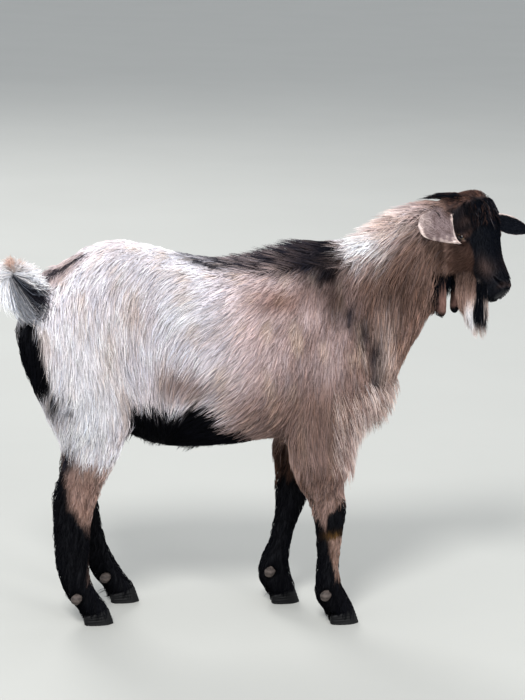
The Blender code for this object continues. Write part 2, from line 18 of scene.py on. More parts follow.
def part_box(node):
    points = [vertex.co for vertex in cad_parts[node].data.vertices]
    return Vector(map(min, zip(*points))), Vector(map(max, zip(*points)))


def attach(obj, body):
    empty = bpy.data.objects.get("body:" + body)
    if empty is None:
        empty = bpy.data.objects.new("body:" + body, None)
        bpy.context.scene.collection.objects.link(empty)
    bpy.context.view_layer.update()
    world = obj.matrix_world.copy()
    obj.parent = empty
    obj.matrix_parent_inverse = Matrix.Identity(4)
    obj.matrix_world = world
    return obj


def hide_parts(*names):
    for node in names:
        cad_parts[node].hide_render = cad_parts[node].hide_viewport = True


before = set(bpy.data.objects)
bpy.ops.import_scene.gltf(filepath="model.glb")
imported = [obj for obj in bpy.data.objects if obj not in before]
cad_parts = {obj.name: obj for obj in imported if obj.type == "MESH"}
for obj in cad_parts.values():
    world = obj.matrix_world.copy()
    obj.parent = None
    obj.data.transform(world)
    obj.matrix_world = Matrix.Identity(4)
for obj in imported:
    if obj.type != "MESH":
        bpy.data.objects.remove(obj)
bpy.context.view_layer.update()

bl_info = {
    "name": "Shaggy Buck Goat",
    "version": (1, 0, 0),
    "blender": (4, 5, 0),
    "location": "View3D > Sidebar > Goat",
    "description": "Builds the skin, coat, eyes, hooves and stage of a life-size buck goat",
    "category": "Object",
}

BODY = "root"
SIDES = {"right": -1.0, "left": 1.0}
PAIRS = ("fore", "hind")


# ------ small maths
def unit(vectors):
    """Vectors brought to length one."""
    return vectors / np.maximum(np.linalg.norm(vectors, axis=-1, keepdims=True), 1e-9)


def ramp(value, low, high):
    """Smoothly from 0 at low to 1 at high. Low may be the larger."""
    t = np.clip((value - low) / (high - low), 0.0, 1.0)
    return t * t * (3 - 2 * t)


def blob(points, centre, radii):
    """A soft patch, 1 at its centre, falling to a third at the given radii."""
    away = (points - np.asarray(centre)) / np.asarray(radii)
    return np.exp(-(away ** 2).sum(axis=1))


def waves(points, size, seed):
    """Smooth uneven values from about -1 to 1, which change over the given size."""
    count = 9
    chance = np.random.default_rng(seed)
    heading = unit(chance.normal(size=(count, 3))) * chance.uniform(0.6, 1.7, (count, 1))
    phase = chance.uniform(0, 2 * pi, count)
    return np.sin(points @ heading.T * (2 * pi / size / 1.6) + phase).sum(axis=1) / (count ** 0.5)


def linear(colour):
    """A display colour as the light it stands for."""
    value = np.asarray(colour, dtype=float)
    return np.where(value <= 0.04045, value / 12.92, ((value + 0.055) / 1.055) ** 2.4)


def middle(node):
    """The middle of a node's box."""
    low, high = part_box(node)
    return (low + high) / 2


# ------ meshes and arrays
def read(collection, name, width, kind=np.float32):
    """A property of every item of a collection, as an array."""
    flat = np.empty(len(collection) * width, dtype=kind)
    collection.foreach_get(name, flat)
    rows = flat.reshape(-1, width)
    return rows.astype(float) if kind is np.float32 else rows


def store(mesh, name, kind, values):
    """Keep one value for each vertex in the mesh. A colour is kept with an alpha of 1."""
    if kind == "FLOAT_COLOR":
        values = np.concatenate([values, np.ones((*values.shape[:-1], 1))], axis=-1)
    field = {"FLOAT": "value", "FLOAT_COLOR": "color"}.get(kind, "vector")
    attribute = mesh.attributes.new(name, kind, "POINT")
    attribute.data.foreach_set(field, np.ascontiguousarray(values, np.float32).reshape(-1))


def search_tree(places):
    """A tree that finds the nearest of some places."""
    tree = KDTree(len(places))
    for index, place in enumerate(places):
        tree.insert(place, index)
    tree.balance()
    return tree


def mesh_of(grid, name):
    """A mesh of a bmesh, which goes."""
    mesh = bpy.data.meshes.new(name)
    grid.to_mesh(mesh)
    grid.free()
    return mesh


def show(name, mesh):
    """A new object of a mesh, in the scene, in place of an older one of its name."""
    old = bpy.data.objects.get(name)
    if old:
        bpy.data.objects.remove(old, do_unlink=True)
    piece = bpy.data.objects.new(name, mesh)
    bpy.context.scene.collection.objects.link(piece)
    return piece


def settle(piece):
    """The mesh of an object with its modifiers applied; the object goes."""
    graph = bpy.context.evaluated_depsgraph_get()
    mesh = bpy.data.meshes.new_from_object(piece.evaluated_get(graph), depsgraph=graph)
    bpy.data.objects.remove(piece, do_unlink=True)
    return mesh


# ------ the head's own frame
HEAD_PITCH = radians(54.0)
EYE_DEPTH = 0.033
HEAD_LEFT = (middle("eye_left") - middle("eye_right")).normalized()
HEAD_FRONT = HEAD_LEFT.cross(Vector((0.0, 0.0, 1.0)))
HEAD_DOWN = HEAD_FRONT * cos(HEAD_PITCH) - Vector((0.0, 0.0, sin(HEAD_PITCH)))
HEAD_OUT = HEAD_FRONT * sin(HEAD_PITCH) + Vector((0.0, 0.0, cos(HEAD_PITCH)))
HEAD_PIVOT = (middle("eye_left") + middle("eye_right")) / 2 + HEAD_OUT * EYE_DEPTH
HEAD_TURN = np.array([HEAD_DOWN, HEAD_OUT, HEAD_LEFT])
NAPE = Vector((0.352, -0.03, 0.79))
NAPE_AHEAD = Vector((0.97, -0.2, 0.1)).normalized()


def in_head(points):
    """Places given down the nose, out of the forehead and to the head's left."""
    return (points - np.asarray(HEAD_PIVOT)) @ HEAD_TURN.T


def in_half_head(points):
    """The same, with one half of the head laid on the other."""
    place = in_head(points)
    place[:, 2] = np.abs(place[:, 2])
    return place


def forward(points):
    """How far ahead of the head's middle places lie, on the level."""
    down, out, _ = in_head(points).T
    return down * cos(HEAD_PITCH) + out * sin(HEAD_PITCH)


def past_nape(points):
    """How far in front of the cut between neck and head the places lie."""
    return (points - np.asarray(NAPE)) @ np.asarray(NAPE_AHEAD)


# ------ which part is where
LEGS = [f"{pair}leg_{length}_{side}" for pair in PAIRS for length in ("upper", "lower")
        for side in SIDES]
FLESH = ["trunk", "neck", "head", "tail", *LEGS, *[f"ear_{side}" for side in SIDES],
         *[f"wattle_{side}" for side in SIDES]]
CLAWS = [f"hoof_{pair}_{side}_{place}" for pair in PAIRS for side in SIDES
         for place in ("inner", "outer")]
COAT_DEPTH = {"trunk": 0.0115, "neck": 0.015, "head": 0.003, "tail": 0.01, "ear": 0.0006,
              "wattle": 0.0012, "foreleg_upper": 0.008, "hindleg_upper": 0.0085,
              "foreleg_lower": 0.004, "hindleg_lower": 0.0045, "hoof": 0.0015, "beard": 0.003}
COATED = [*FLESH, *CLAWS, "beard"]
DEPTH_OF = {node: depth for node in COATED for kind, depth in COAT_DEPTH.items()
            if node.startswith(kind)}


def node_tree(names):
    """A search tree over some nodes, and the name of the node that each of its faces is on."""
    corners, faces, owners = [], [], []
    for name in names:
        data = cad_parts[name].data
        base = len(corners)
        corners.extend(vertex.co.copy() for vertex in data.vertices)
        for polygon in data.polygons:
            faces.append([base + index for index in polygon.vertices])
            owners.append(name)
    return BVHTree.FromPolygons(corners, faces), np.array(owners)


PARTS_TREE, PARTS = node_tree(COATED)
EAR_TIP = {"right": (0.364, -0.138, 0.797), "left": (0.56, 0.046, 0.789)}
EAR_INSIDE = {"right": (0.05, 0.75, -0.66), "left": (0.36, -0.6, 0.7)}


def rim_tree(side):
    """A search tree over an ear's rim: all of the right ear's, the upper one of the left."""
    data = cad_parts[f"ear_{side}"].data
    inside = Vector(EAR_INSIDE[side]).normalized()
    tip = Vector(EAR_TIP[side])
    faces_on = {}
    for polygon in data.polygons:
        for key in polygon.edge_keys:
            ends = sorted(tuple(round(value, 5) for value in data.vertices[index].co)
                          for index in key)
            faces_on.setdefault(tuple(ends), set()).add(polygon.normal.dot(inside) > 0.0)
    rim = []
    for ends, sides in faces_on.items():
        start, stop = (Vector(end) for end in ends)
        place = (start + stop) / 2
        above = place.z - tip.z - 0.33 * (place - tip).length
        if len(sides) == 2 and (side == "right" or above > 0.0):
            rim.extend(start.lerp(stop, step / 6) for step in range(7))
    return search_tree(rim)


EAR_RIM = {side: rim_tree(side) for side in SIDES}


def parts_at(points):
    """The name of the node nearest to each place."""
    found = [PARTS_TREE.find_nearest(point)[2] for point in points]
    return PARTS[found]


def among(parts, *starts):
    """Which of the part names start with one of the given words."""
    found = np.zeros(len(parts), dtype=bool)
    for start in starts:
        found |= np.char.startswith(parts, start)
    return found


# ------ markings
BELLY_EDGE = ((-0.3, 0.462), (-0.26, 0.46), (-0.21, 0.452), (-0.175, 0.447), (-0.16, 0.474),
              (-0.14, 0.468), (-0.092, 0.424), (-0.048, 0.401), (0.0, 0.372), (0.06, 0.33))
NECK_TOP = ((0.12, 0.77), (0.17, 0.784), (0.218, 0.818), (0.274, 0.854), (0.328, 0.872),
            (0.372, 0.88))
BUTTOCK_EDGE = ((0.46, -0.45), (0.48, -0.443), (0.502, -0.439), (0.545, -0.447),
                (0.585, -0.459), (0.613, -0.467), (0.66, -0.485))
SHANK_EDGE = ((0.18, -0.35), (0.205, -0.362), (0.222, -0.379), (0.245, -0.393), (0.29, -0.398),
              (0.325, -0.408), (0.36, -0.412), (0.4, -0.43))
MASK_EDGE = ((-0.06, 0.016), (-0.011, 0.0), (0.012, -0.02), (0.037, -0.037), (0.061, -0.056),
             (0.082, -0.062), (0.095, -0.078), (0.14, -0.09))
FLANK_STOPS = (-0.25, -0.14, -0.05, 0.05, 0.13, 0.2)
FLANK_TINTS = ("pale", "pale", "ribs", "shoulder", "shoulder", "neck")
CROSS_ARM = (
    (0.158, 0.1, 0.64), (0.186, 0.09, 0.605), (0.208, 0.08, 0.56), (0.216, 0.08, 0.51))


def along(edge, value):
    """The second number of an edge at a value of its first."""
    stops, heights = zip(*edge)
    return np.interp(value, stops, heights)


class Paint:
    """Colours laid over one another, at many places of the skin or the hair."""

    def __init__(self, points, parts, tint, facing):
        shake = np.stack([waves(points, 0.045, seed) for seed in (1, 2, 3)], axis=1) * 0.0035
        self.points = points
        self.shaken = points + shake
        self.parts = parts
        self.facing = facing
        self.tints = {name: linear(getattr(tint, name)) for name in COLOURS}
        flank = np.array([self.tints[name] for name in FLANK_TINTS])
        self.colours = np.stack(
            [np.interp(self.shaken[:, 0], FLANK_STOPS, shade) for shade in flank.T], axis=1)

    def axes(self):
        """The places' X, Y and Z, and how far out to a side they lie."""
        x, y, z = self.shaken.T
        return x, y, z, np.abs(y)

    def brushes(self):
        """What most of the painting is done with."""
        return self.lay, self.spot, self.points, self.axes()

    def on(self, *starts):
        """1 on the parts whose names start so, and 0 elsewhere."""
        return among(self.parts, *starts) * 1.0

    def lay(self, name, mask):
        """Lay one of the colours over what is there."""
        self.colours += (self.tints[name] - self.colours) * np.clip(mask, 0.0, 1.0)[:, None]

    def spot(self, name, strength, centre, radii, ragged=0.0):
        """Lay a soft spot of one colour, on both sides of the body."""
        x, _, z, side = self.axes()
        self.lay(name, strength * blob(np.stack([x + ragged, side, z], axis=1), centre, radii))


def paint_quarters(paint):
    """Streaks and spots over the pale quarters and the ribs, with painted light on the thigh and
    painted shade on the top of the rump and the low ribs.
    """
    lay, spot, points, (x, _, z, _) = paint.brushes()
    lay("straw", 0.5 * ramp(waves(points * (1.0, 1.0, 0.35), 0.03, 11), 0.3, 1.3))
    lay("grey", 0.3 * ramp(waves(points * (1.0, 1.0, 0.35), 0.022, 12), 0.4, 1.4))
    lay("ribs", 0.35 * ramp(waves(points, 0.09, 13), 0.2, 1.4))
    spot("straw", 0.55, (-0.33, 0.11, 0.56), (0.03, 0.2, 0.06))
    spot("straw", 0.45, (-0.285, 0.11, 0.65), (0.02, 0.2, 0.04))
    spot("white", 0.75, (-0.19, 0.12, 0.64), (0.045, 0.2, 0.03))
    # The top of the rump is darkened to the ribs' pink: partly its own duller tint, partly painted
    # shade against the light from above.
    lay("ribs", 0.85 * ramp(z, 0.755, 0.79) * ramp(x, -0.17, -0.22))
    spot("white", 0.95, (-0.365, 0.11, 0.43), (0.06, 0.2, 0.09))
    # Whiter on the thigh: partly its white hair, partly painted light where the thigh turns away
    # from the key light.
    spot("white", 0.55, (-0.39, 0.11, 0.56), (0.06, 0.2, 0.08))
    # Painted shade: the lower ribs darken to the neck's brown towards the belly.
    low_ribs_shade = ramp(z, 0.54, 0.45) * paint.on("trunk")
    lay("neck", 0.75 * low_ribs_shade * ramp(x, -0.16, -0.04))


def paint_shoulder(paint):
    """Shoulder, ribs, neck, the cream crest and the chest."""
    lay, spot, points, (x, _, z, _) = paint.brushes()
    spot("rust", 0.65, (0.01, 0.11, 0.672), (0.055, 0.2, 0.022))
    spot("ribs", 0.6, (0.075, 0.12, 0.64), (0.035, 0.2, 0.028))
    spot("tan", 0.75, (-0.2, 0.13, 0.51), (0.04, 0.2, 0.034))
    spot("neck", 0.6, (-0.15, 0.13, 0.5), (0.045, 0.2, 0.026))
    lay("neck", ramp(x, 0.165, 0.245) * ramp(z, 0.47, 0.56))
    spot("umber", 0.55, (0.245, 0.07, 0.69), (0.05, 0.3, 0.05))
    crest = ramp(along(NECK_TOP, x) - z, 0.085, 0.025) * ramp(x, 0.15, 0.185)
    lay("ribs", 0.6 * crest * ramp(x, 0.345, 0.285))
    streaks = ramp(waves(points * (0.35, 1.0, 1.0), 0.016, 23), -1.4, 0.6)
    lay("cream", 0.9 * crest * ramp(x, 0.32, 0.25) * streaks)
    spot("white", 1.15 * streaks, (0.186, 0.05, 0.768), (0.036, 0.2, 0.03))
    spot("umber", 0.75, (0.2, 0.1, 0.455), (0.018, 0.2, 0.036))
    spot("cream", 0.85, (0.24, 0.0, 0.375), (0.06, 0.1, 0.05))
    spot("cream", 0.6, (0.25, 0.0, 0.48), (0.035, 0.05, 0.08))
    spot("cream", 0.85, (0.236, 0.08, 0.56), (0.026, 0.06, 0.07))
    spot("rust", 0.2, (0.25, 0.05, 0.56), (0.03, 0.1, 0.06))


def paint_cross(paint):
    """The dark cross of the withers, its arm down the shoulder, and the stripe of the back."""
    lay, spot, points, (x, y, z, side) = paint.brushes()
    ragged = 0.006 * waves(points, 0.022, 25)
    spot("black", 1.2, (0.116, 0.02, 0.765), (0.038, 0.1, 0.042), ragged)
    spot("black", 1.1, (0.108, 0.08, 0.72), (0.034, 0.06, 0.03), ragged)
    spot("dusk", 0.7, (0.07, 0.05, 0.75), (0.04, 0.08, 0.03), ragged)
    spot("umber", 0.85, (0.126, 0.1, 0.668), (0.022, 0.06, 0.04))
    for centre in CROSS_ARM:
        spot("dusk", 0.95, centre, (0.015, 0.06, 0.028))
    stripe_half = np.interp(x, (-0.2, -0.12, -0.05, 0.07), (0.024, 0.046, 0.056, 0.072))
    stripe = ramp(side, stripe_half * 1.2, stripe_half * 0.85) * ramp(z, 0.665, 0.7)
    broken = 0.78 + 0.22 * waves(points, 0.016, 15)
    lay("dusk", 1.1 * broken * stripe * ramp(x, -0.21, -0.13) * ramp(x, 0.13, 0.08))
    croup = ramp(x, -0.35, -0.375) * ramp(z, 0.64, 0.68) * ramp(x, -0.472, -0.452)
    lay("rust", 0.55 * croup * ramp(np.abs(y + 0.01), 0.05, 0.034))
    uneven = ramp(waves(points, 0.02, 14), -1.6, -0.4)
    lay("dusk", 0.95 * croup * ramp(np.abs(y + 0.02), 0.017, 0.008) * uneven
        * ramp(x, -0.475, -0.43))


def paint_underside(paint):
    """The black of the belly, the groin and the back of the thighs."""
    lay = paint.lay
    x, y, z, side = paint.axes()
    low = ramp(along(BELLY_EDGE, x) - z, -0.005, 0.008)
    between = np.maximum(ramp(x, -0.292, -0.28), ramp(side, 0.07, 0.05))
    lay("black", low * between * ramp(x, 0.045, 0.02) * paint.on("trunk"))
    far_edge = np.interp(z, (0.48, 0.56), (0.018, 0.08))
    behind = ramp(along(BUTTOCK_EDGE, z) - x, -0.004, 0.006) * ramp(y - far_edge, 0.0, -0.015)
    lay("black", behind * ramp(z, 0.468, 0.485) * ramp(z, 0.7, 0.66))
    crotch = ramp(y, 0.03, 0.018) * ramp(y, -0.06, -0.045)
    lay("black", crotch * ramp(x, -0.41, -0.43) * ramp(z, 0.64, 0.6))
    lay("black", ramp(side, 0.05, 0.036) * ramp(z, 0.5, 0.47) * ramp(x, -0.24, -0.27))


def paint_legs(paint):
    """Tan and black legs."""
    lay, spot, points, (x, y, z, side) = paint.brushes()
    hind, fore = paint.on("hindleg"), paint.on("foreleg")
    left = (y > 0) * 1.0
    tufts = waves(points * (1.0, 1.0, 0.3), 0.014, 22)
    level = z + 0.45 * (x + 0.36) + 0.012 * tufts
    lay("tan", hind * 0.9 * ramp(level, 0.352, 0.33))
    lay("rust", hind * 0.35 * ramp(level, 0.32, 0.29))
    lay("umber", hind * 0.45 * ramp(level, 0.352, 0.33) * ramp(tufts, 0.3, 1.3))
    spot("dusk", 1.1, (-0.408, 0.1, 0.345), (0.014, 0.06, 0.03))
    spot("black", 1.3, (-0.43, 0.11, 0.46), (0.014, 0.1, 0.018))
    spot("black", 0.9, (-0.404, 0.11, 0.44), (0.016, 0.1, 0.01))
    edge = along(SHANK_EDGE, z) + 0.006 * left
    lay("black", hind * ramp(edge - x, -0.004, 0.008) * ramp(z, 0.4, 0.34))
    lay("black", hind * ramp(z, 0.225, 0.195) * np.interp(z, (0.05, 0.2), (0.62, 0.85)))
    lay("black", hind * left * ramp(z, 0.33, 0.27))
    lay("black", hind * ramp(z, 0.105, 0.085))
    lay("shoulder", fore * 0.8 * ramp(z, 0.5, 0.42))
    lay("neck", fore * 0.75 * ramp(z, 0.44, 0.32))
    lay("umber", fore * 0.35 * ramp(z, 0.36, 0.29) * ramp(tufts, -0.6, 0.8))
    lay("umber", fore * left * 0.9 * ramp(z, 0.42, 0.36))
    lay("black", fore * left * ramp(side, 0.062, 0.048) * 0.35 * ramp(z, 0.42, 0.36))
    lay("rust", fore * left * 0.3 * ramp(z, 0.42, 0.38) * ramp(tufts, -0.4, 0.8))
    knee_line = np.interp(x, (0.095, 0.121, 0.125, 0.168), (0.228, 0.194, 0.232, 0.262))
    lay("black", fore * ramp(z - knee_line, 0.006, -0.004))
    lay("black", fore * left * ramp(z + 0.014 * tufts, 0.285, 0.255))
    near = fore * (1.0 - left)
    spot("gold", 0.4 * near, (0.14, 0.1, 0.187), (0.018, 0.2, 0.008))
    back_line = np.interp(z, (0.092, 0.178), (0.15, 0.127))
    cannon = ramp(x - back_line, -0.003, 0.004) * ramp(z, 0.088, 0.104) * ramp(z, 0.184, 0.174)
    lay("tan", 0.85 * near * cannon * ramp(side, 0.08, 0.092))
    lay("umber", 0.6 * near * cannon * ramp(tufts, 0.1, 0.9) * ramp(z, 0.2, 0.17))
    lay("black", ramp(z, 0.085, 0.06))
    fringe = paint.on("fringe")
    lay("shoulder", 0.7 * fringe)
    lay("cream", fringe * (0.55 + 0.4 * waves(points, 0.012, 20)))


def paint_tail(paint):
    """The tail's dark band, white fan and orange crown."""
    lay, points = paint.lay, paint.points
    tail = paint.on("tail")
    swung = np.degrees(np.arctan2(points[:, 0] - WHORL[0], WHORL[2] - points[:, 2]))
    mixed = waves(points, 0.01, 19)
    lay("white", tail)
    lay("slate", 0.9 * tail * ramp(swung, -10.0, 8.0) * ramp(mixed, -0.3, 0.3))
    lay("dusk", tail * ramp(swung + 8.0 * mixed, 18.0, 34.0) * ramp(swung, 74.0, 62.0))
    lay("slate", 0.6 * tail * ramp(swung, 18.0, 26.0) * ramp(mixed, 0.6, 1.1))
    lay("white", tail * ramp(swung, 62.0, 74.0))
    lay("cream", tail * 0.5 * np.maximum(ramp(swung, 96.0, 120.0), ramp(swung, -125.0, -145.0)))
    lay("orange", tail * 0.55 * ramp(np.abs(swung), 146.0, 172.0))


def paint_head(paint):
    """The head's brown sides and black mask, painted shade under the jaw at the throat, and the
    rings of the eyes.
    """
    lay, points = paint.lay, paint.shaken
    place = in_half_head(points)
    down, out, _ = place.T
    past = past_nape(points)
    on_head = paint.on("head") * ramp(past, -0.004, 0.012)

    def dab(name, strength, centre, radii):
        """Lay a soft spot of one colour on both sides of the head."""
        lay(name, strength * on_head * blob(place, centre, radii))

    lay("umber", on_head * (0.45 + 0.55 * ramp(past, 0.004, 0.05)))
    dab("rust", 0.25, (0.02, -0.09, 0.05), (0.035, 0.03, 0.1))
    lay("ink", 0.12 * on_head)
    lay("umber", 0.75 * paint.on("neck") * ramp(past, -0.03, 0.0) * ramp(down, -0.03, 0.0))
    lay("ink", 0.85 * on_head * (ramp(down, 0.012, -0.012) * ramp(out, -0.052, -0.03)))
    dab("umber", 0.75, (-0.03, -0.016, 0.052), (0.012, 0.01, 0.03))
    top = on_head * ramp(down, -0.054, -0.068) * ramp(out, 0.02, 0.006)
    lay("umber", 0.8 * top)
    lay("dusk", 0.25 * top)
    lay("rust", 0.25 * top * ramp(waves(points, 0.01, 16), -0.2, 1.0))
    mask = ramp(out - along(MASK_EDGE, down), -0.004, 0.005)
    lay("ink", on_head * mask * np.maximum(ramp(down, -0.066, -0.054), ramp(out, 0.006, 0.016)))
    lay("ink", on_head * ramp(down, 0.088, 0.102))
    dab("ink", 0.8, (-0.04, -0.02, 0.052), (0.022, 0.018, 0.04))
    dab("ink", 0.8, (0.002, -0.036, 0.06), (0.02, 0.016, 0.02))
    dab("muzzle", 0.95, (0.073, -0.03, 0.032), (0.019, 0.016, 0.03))
    dab("muzzle", 0.8, (0.119, -0.021, 0.012), (0.005, 0.01, 0.01))
    dab("cream", 0.65, (0.096, -0.06, 0.032), (0.006, 0.004, 0.02))
    # Painted shade: black under the jaw, above the wattles.
    throat = blob(points, (0.345, -0.05, 0.705), (0.014, 0.04, 0.012))
    throat += blob(points, (0.362, -0.03, 0.696), (0.014, 0.04, 0.01))
    lay("ink", 1.3 * throat * paint.on("head", "neck", "wattle"))
    for side, sign in SIDES.items():
        local = in_eye(points, side)
        near_eye = on_head * (local[:, 2] > 0) * (in_head(points)[:, 2] * sign > 0)
        lay("fawn", 0.35 * near_eye * np.exp(-((slit_measure(local) - 1.7) / 0.18) ** 2))
        lay("ink", near_eye * ramp(slit_measure(local), 1.45, 1.25))


def paint_ears(paint):
    """Mottled grey ears, dark inside, with cream rims and painted shade low on the near ear."""
    points = paint.shaken
    for side in SIDES:
        ear = paint.on(f"ear_{side}")

        def lay(name, mask):
            """Lay one of the colours on this ear."""
            paint.lay(name, ear * mask)

        inward = paint.facing @ unit(np.array(EAR_INSIDE[side]))
        mottled = waves(points, 0.014, 27)
        paint.lay("ear", ear)
        lay("cream", 0.75 * blob(points, (0.293, -0.1, 0.846), (0.016, 0.1, 0.02)))
        # Painted shade: the near ear is darkened low by its fold.
        lay("umber", 0.35 * blob(points, (0.3, -0.11, 0.808), (0.03, 0.1, 0.01)))
        lay("umber", 0.3 * ramp(mottled, 0.0, 1.2))
        lay("cream", 0.35 * ramp(mottled, -0.4, -1.4))
        lay("ink", ramp(inward, 0.3, 0.55))
        lay("umber", 1.2 * blob(points, (0.352, -0.078, 0.856), (0.017, 0.03, 0.014)))
        close = np.full(len(points), 1.0)
        close[ear > 0] = [EAR_RIM[side].find(point)[2] for point in points[ear > 0]]
        lay("cream", 0.85 * ramp(close, 0.0056, 0.002))


def paint_hanging(paint):
    """Beard, throat, forelock and wattles, with painted shade on the throat's hair and painted
    sheen on the forelock.
    """
    lay, points = paint.lay, paint.shaken
    beard, forelock, wattle = (paint.on(part) for part in ("beard", "forelock", "wattle"))
    ahead = forward(points) + 0.002 * waves(points, 0.012, 24)
    height = points[:, 2]
    # Painted shade: the hair hanging from the throat is black as the shade under the jaw.
    lay("ink", paint.on("throat"))
    lay("fawn", beard)
    lay("umber", 0.55 * beard * ramp(height, 0.684, 0.704))
    lay("ink", beard * ramp(height, 0.664, 0.68) * ramp(ahead, 0.0, 0.01))
    lay("cream", 0.8 * beard * ramp(height, 0.684, 0.66) * ramp(ahead, -0.02, -0.012))
    lay("white", 0.8 * beard * ramp(height, 0.668, 0.648) * ramp(ahead, -0.022, -0.013))
    lay("ink", beard * ramp(ahead, -0.001, 0.004) * ramp(ahead, 0.027, 0.022))
    lay("grey", 0.25 * beard * ramp(ahead, 0.0, 0.01) * ramp(waves(points, 0.006, 26), 0.9, 1.5))
    lay("cream", beard * ramp(ahead, 0.02, 0.024) * ramp(height, 0.662, 0.646))
    lay("cream", 0.9 * beard * ramp(height, 0.617, 0.6))
    lay("ink", forelock)
    lay("umber", 0.6 * forelock * ramp(waves(points, 0.008, 17), 0.4, 1.1))
    # Painted sheen: faint grey streaks for light glancing off the black forelock and poll tuft.
    lay("grey", 0.1 * forelock * ramp(waves(points, 0.007, 18), 0.7, 1.4))
    lay("wattle", wattle)
    lay("black", wattle * ramp(height, 0.648, 0.638))


def markings(points, parts, tint, facing):
    """The coat's colour at each place: linear red, green and blue."""
    paint = Paint(points, parts, tint, facing)
    for layer in (paint_quarters, paint_shoulder, paint_cross, paint_underside, paint_legs,
                  paint_tail, paint_head, paint_ears, paint_hanging):
        layer(paint)
    return paint.colours


COLOURS = {
    "pale": ("Pale quarters", (0.91, 0.89, 0.91)),
    "white": ("White hair", (0.96, 0.955, 0.97)),
    "straw": ("Straw streaks", (0.8, 0.72, 0.65)),
    "grey": ("Grey streaks", (0.66, 0.63, 0.65)),
    "slate": ("Blue grey of the tail", (0.46, 0.48, 0.52)),
    "ribs": ("Pinkish ribs", (0.81, 0.735, 0.73)),
    "shoulder": ("Shoulder", (0.64, 0.55, 0.53)),
    "neck": ("Neck", (0.53, 0.43, 0.39)),
    "cream": ("Cream crest and chest", (0.84, 0.77, 0.74)),
    "tan": ("Tan of the legs", (0.61, 0.5, 0.45)),
    "rust": ("Rust brown", (0.52, 0.37, 0.31)),
    "umber": ("Dark brown", (0.26, 0.185, 0.155)),
    "orange": ("Orange", (0.74, 0.53, 0.38)),
    "gold": ("Gold above the cannon", (0.6, 0.44, 0.24)),
    "dusk": ("Grey black", (0.13, 0.125, 0.155)),
    "black": ("Black", (0.034, 0.036, 0.054)),
    "ink": ("Black of the mask", (0.022, 0.032, 0.06)),
    "muzzle": ("Muzzle's brown", (0.24, 0.19, 0.18)),
    "fawn": ("Fawn of the beard", (0.56, 0.46, 0.42)),
    "ear": ("Ear", (0.46, 0.4, 0.4)),
    "wattle": ("Wattle", (0.46, 0.35, 0.32)),
}


# ------ the lie of the coat
# Strokes of the comb over the right side: where, and which way the hair falls there (X, Z).
COMBING = (
    (-0.455, 0.69, 0.5, -0.85), (-0.425, 0.66, 0.05, -1.0), (-0.365, 0.67, 0.0, -1.0),
    (-0.34, 0.75, -0.45, -0.6), (-0.24, 0.755, -0.45, -0.8), (-0.16, 0.735, -0.85, -0.4),
    (-0.3, 0.61, 0.05, -1.0), (-0.245, 0.67, -0.1, -1.0), (-0.205, 0.69, -0.6, -0.8),
    (-0.165, 0.665, -1.0, -0.15), (-0.125, 0.65, -0.85, -0.5), (-0.065, 0.72, -0.9, -0.45),
    (-0.215, 0.59, -0.15, -1.0), (-0.165, 0.53, -0.6, -0.8), (-0.085, 0.57, -0.7, -0.7),
    (-0.085, 0.47, -0.85, -0.55), (-0.03, 0.605, -0.55, -0.85), (-0.005, 0.7, -0.75, -0.7),
    (0.0, 0.47, -0.3, -1.0), (0.035, 0.565, -0.2, -1.0), (0.07, 0.73, -0.3, -1.0),
    (-0.245, 0.53, 0.15, -1.0), (-0.265, 0.48, 0.45, -0.9), (-0.345, 0.55, 0.3, -0.95),
    (-0.405, 0.53, 0.1, -1.0), (-0.42, 0.475, -0.35, -0.9), (-0.36, 0.435, -0.1, -1.0),
    (-0.32, 0.41, 0.1, -1.0), (-0.4, 0.37, -0.2, -1.0), (0.11, 0.67, -0.1, -1.0),
    (0.13, 0.47, 0.0, -1.0), (0.165, 0.39, 0.2, -1.0), (0.21, 0.41, 0.45, -0.9),
    (0.23, 0.49, 0.1, -1.0), (0.22, 0.61, 0.05, -1.0), (0.26, 0.57, -0.05, -1.0),
    (0.2, 0.672, -0.3, -0.95), (0.259, 0.672, -0.15, -1.0), (0.318, 0.7, 0.0, -1.0),
    (0.15, 0.74, -0.6, -0.8), (0.2, 0.79, -0.8, -0.6), (0.256, 0.752, -0.55, -0.85),
    (0.26, 0.837, -0.95, -0.3), (0.315, 0.774, -0.35, -0.95), (0.33, 0.86, -0.95, -0.15),
)
STROKE_REACH = 0.042
FLOOR_GAP = 0.004
STRAY = 0.1
WHORL = (-0.513, -0.01, 0.712)


def flat_on(vectors, normals):
    """Vectors laid flat on a surface, and brought to length one."""
    return unit(vectors - normals * (vectors * normals).sum(axis=1, keepdims=True))


def body_lie(points, normals):
    """Which way the hair of trunk, neck and legs falls."""
    strokes = np.array(COMBING)
    x, y, z = points.T
    gap = (x[:, None] - strokes[:, 0]) ** 2 + (z[:, None] - strokes[:, 1]) ** 2
    weight = np.exp(-gap / (2 * STROKE_REACH ** 2)) + 1e-6
    weight /= weight.sum(axis=1, keepdims=True)
    fall = weight @ strokes[:, 2:]
    legs = ramp(z, 0.36, 0.3)
    back = np.where(np.abs(normals[:, 0]) > 0.3, -0.18, -0.08)
    fall = fall * (1 - legs[:, None]) + np.stack([back, -np.ones(len(z))], axis=1) * legs[:, None]
    upward = np.clip(normals[:, 2], 0.0, 1.0)
    sideways = np.sign(y) * 0.55 * upward * ramp(np.abs(y), 0.0, 0.02)
    return np.stack([fall[:, 0] - 0.35 * np.abs(normals[:, 2]), sideways, fall[:, 1]], axis=1)


